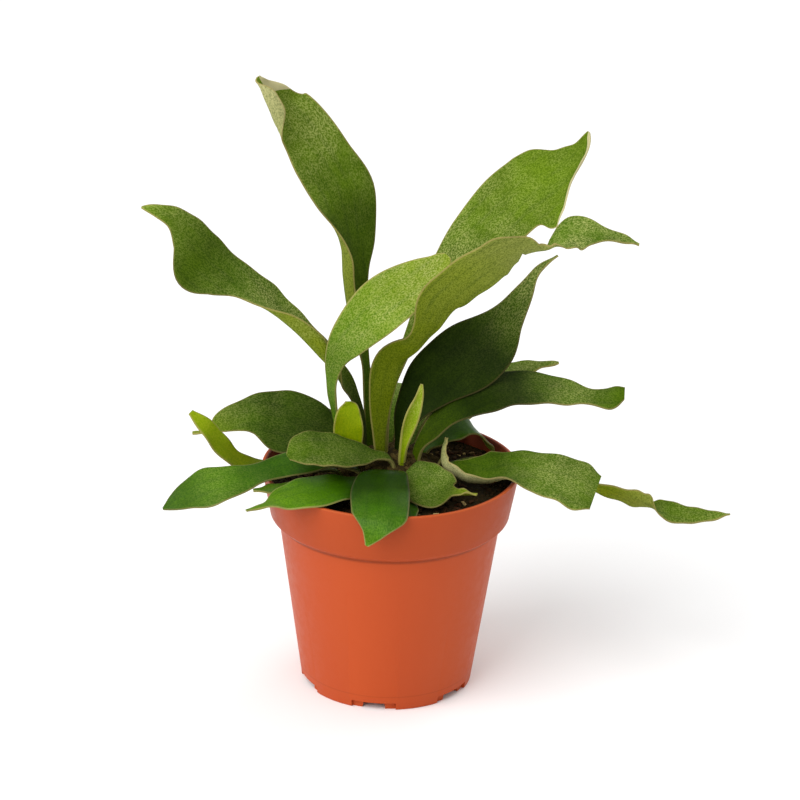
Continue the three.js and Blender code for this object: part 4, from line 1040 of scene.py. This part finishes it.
def frond_bmesh(frond, settings):
    """A frond as a closed blade, with its maps, the state of its tissue and its painted shade."""
    columns = settings.columns
    stations = [whole_row(*row) for row in frond["stations"]]
    heading = math.radians(frond["heading"])
    rows = (len(stations) - 1) * settings.rows
    across = column_places(columns)
    sections = [Section(stations, heading, row / settings.rows, settings) for row in range(rows + 1)]
    travelled = [0.0]
    for first, second in zip(sections, sections[1:]):
        travelled.append(travelled[-1] + (second.middle - first.middle).length)
    bm = bmesh.new()
    bmesh.ops.create_grid(bm, x_segments=2 * columns, y_segments=rows, size=1)
    tissue = bm.verts.layers.float_color.new("tissue")
    felt = bm.verts.layers.float.new("felt")
    hem = bm.verts.layers.float.new("hem")
    spread = bm.loops.layers.uv.new("spread")
    rim = bm.loops.layers.uv.new("rim")
    hem_start, hem_full, hem_width = frond.get("hem", (1, 1, 0))
    grid = {}
    for vert in bm.verts:
        around = round((vert.co.x + 1) * columns)
        row = round((vert.co.y + 1) / 2 * rows)
        upper = around <= columns
        u = across[around] if upper else across[2 * columns - around]
        section = sections[row]
        grid[vert] = (u * section.width(u), travelled[row], section.width(u) * (1 - abs(u)))
        way = travelled[row] / travelled[-1]
        # Youth and hair of the tissue, and the painted shade that darkens it.
        vert[tissue] = (*(spaced(frond[state], way) for state in ("youth", "hair", "shade")), 1)
        vert[felt] = spaced(frond["felt"], way)
        if u > 0 and way > hem_start:
            vert[hem] = hem_width * MM * min((way - hem_start) / (hem_full - hem_start), 1)
        vert.co = section.point(u, 1 if upper else -1)
        vert.index = around
    for face in bm.faces:
        under = max(vert.index for vert in face.verts) > columns
        for loop in face.loops:
            aside, travel, inset = grid[loop.vert]
            loop[spread].uv = (aside, travel)
            loop[rim].uv = (inset, 1.0 if under else 0.0)
    bmesh.ops.remove_doubles(bm, verts=bm.verts, dist=WELD)
    bmesh.ops.holes_fill(bm, edges=[edge for edge in bm.edges if edge.is_boundary])
    bmesh.ops.recalc_face_normals(bm, faces=bm.faces)
    bmesh.ops.translate(bm, verts=bm.verts, vec=POT_AXIS)
    return bm


class FERN_OT_fronds(bpy.types.Operator):
    """Add every frond, from its stalk in the crown to its tip"""
    bl_idname = "fern.add_fronds"
    bl_label = "Fronds"

    def execute(self, context):
        settings = context.scene.fern_fronds
        materials = frond_materials()
        for node, frond in FRONDS.items():
            look = frond["look"]
            piece = finished(frond_bmesh(frond, settings), node.replace("frond_", "blade_"),
                             materials[look], node)
            smoothed(piece.data, BLADE_SMOOTH_DEGREES)
        return {"FINISHED"}


WHITE = (1, 1, 1, 1)
FLOOR_CLOUDS = (0.9, 0.9, 0.9, 1)
KEY_PLACE = Vector((-1.2, -1.1, 1.55))
KEY_SIDE = 2.0
BACK_PLACE = Vector((1.3, 1.2, 1.5))
BACK_SIDE = 1.8
SENSOR_WIDTH = 36


def add_floor(s):
    """The pale floor, very slightly clouded."""
    bm = bmesh.new()
    bmesh.ops.create_grid(bm, x_segments=1, y_segments=1, size=s.floor_size / 2)
    floor = as_object(bm, "floor")
    material, nodes, shader = new_material("pale_floor")
    even = nodes.ranged(nodes.clouds(nodes.place(), FLOOR_PATCHES), 0.0, 1.0, 0.97, 1.0)
    nodes.feed(shader["Base Color"], nodes.mixed(even, FLOOR_CLOUDS, opaque(s.floor)))
    nodes.feed(shader["Roughness"], 0.8)
    floor.data.materials.append(material)


def area_light(name, place, side, watts):
    """A square light that faces the middle of the plant."""
    data = bpy.data.lights.new(name, "AREA")
    data.shape = "SQUARE"
    data.size = side
    data.energy = watts
    light = add_object(name, data)
    light.location = place
    middle = (FRAME_BOX[0] + FRAME_BOX[1]) / 2
    light.rotation_euler = (middle - place).to_track_quat("-Z", "Y").to_euler()


def add_sky(s):
    world = bpy.data.worlds.new("studio")
    world.use_nodes = True
    background = world.node_tree.nodes["Background"].inputs
    background["Color"].default_value = WHITE
    background["Strength"].default_value = s.sky
    bpy.context.scene.world = world


def add_camera(s):
    """A camera that looks towards +Y, turned left by the yaw, tipped down by the pitch and leaning."""
    data = bpy.data.cameras.new("camera")
    data.sensor_width = SENSOR_WIDTH
    data.lens = s.lens
    camera = add_object("camera", data)
    right = Vector((math.cos(s.yaw), math.sin(s.yaw), 0))
    level = Vector((-math.sin(s.yaw), math.cos(s.yaw), 0))
    forward = level * math.cos(s.pitch) - Vector((0, 0, math.sin(s.pitch)))
    upward = right.cross(forward)
    leaning_right = right * math.cos(s.roll) + upward * math.sin(s.roll)
    leaning_up = upward * math.cos(s.roll) - right * math.sin(s.roll)
    facing = Matrix((leaning_right, leaning_up, -forward)).transposed()
    place = POT_AXIS + Vector((0, -s.camera_distance, s.camera_height))
    camera.matrix_world = Matrix.Translation(place) @ facing.to_4x4()
    bpy.context.scene.camera = camera


class FERN_OT_stage(bpy.types.Operator):
    """Add the pale floor, the soft lights and the camera"""
    bl_idname = "fern.add_stage"
    bl_label = "Stage"

    def execute(self, context):
        s = context.scene.fern_stage
        add_floor(s)
        add_sky(s)
        area_light("key", KEY_PLACE, KEY_SIDE, s.key)
        area_light("back", BACK_PLACE, BACK_SIDE, s.back)
        context.scene.view_settings.view_transform = "Standard"
        add_camera(s)
        return {"FINISHED"}


class FERN_PT_sidebar(bpy.types.Panel):
    """The fern's pieces, in the order in which they are added"""
    bl_idname = "FERN_PT_sidebar"
    bl_label = "Potted fern"
    bl_space_type = "VIEW_3D"
    bl_region_type = "UI"
    bl_category = "Fern"

    def draw(self, context):
        for operator in OPERATORS:
            self.layout.operator(operator.bl_idname)


SETTINGS = {
    "fern_pot": PotSettings,
    "fern_mix": MixSettings,
    "fern_crown": CrownSettings,
    "fern_fronds": FrondSettings,
    "fern_stage": StageSettings,
}
OPERATORS = (FERN_OT_stage, FERN_OT_pot, FERN_OT_mix, FERN_OT_crown, FERN_OT_fronds)


def register():
    for name, group in SETTINGS.items():
        bpy.utils.register_class(group)
        setattr(bpy.types.Scene, name, PointerProperty(type=group))
    for operator in OPERATORS:
        bpy.utils.register_class(operator)
    bpy.utils.register_class(FERN_PT_sidebar)


def unregister():
    bpy.utils.unregister_class(FERN_PT_sidebar)
    for operator in reversed(OPERATORS):
        bpy.utils.unregister_class(operator)
    for name, group in reversed(SETTINGS.items()):
        delattr(bpy.types.Scene, name)
        bpy.utils.unregister_class(group)


def main():
    register()
    bpy.ops.fern.add_stage()
    bpy.ops.fern.add_pot()
    bpy.ops.fern.add_mix()
    bpy.ops.fern.add_crown()
    bpy.ops.fern.add_fronds()


if __name__ == "__main__":
    main()
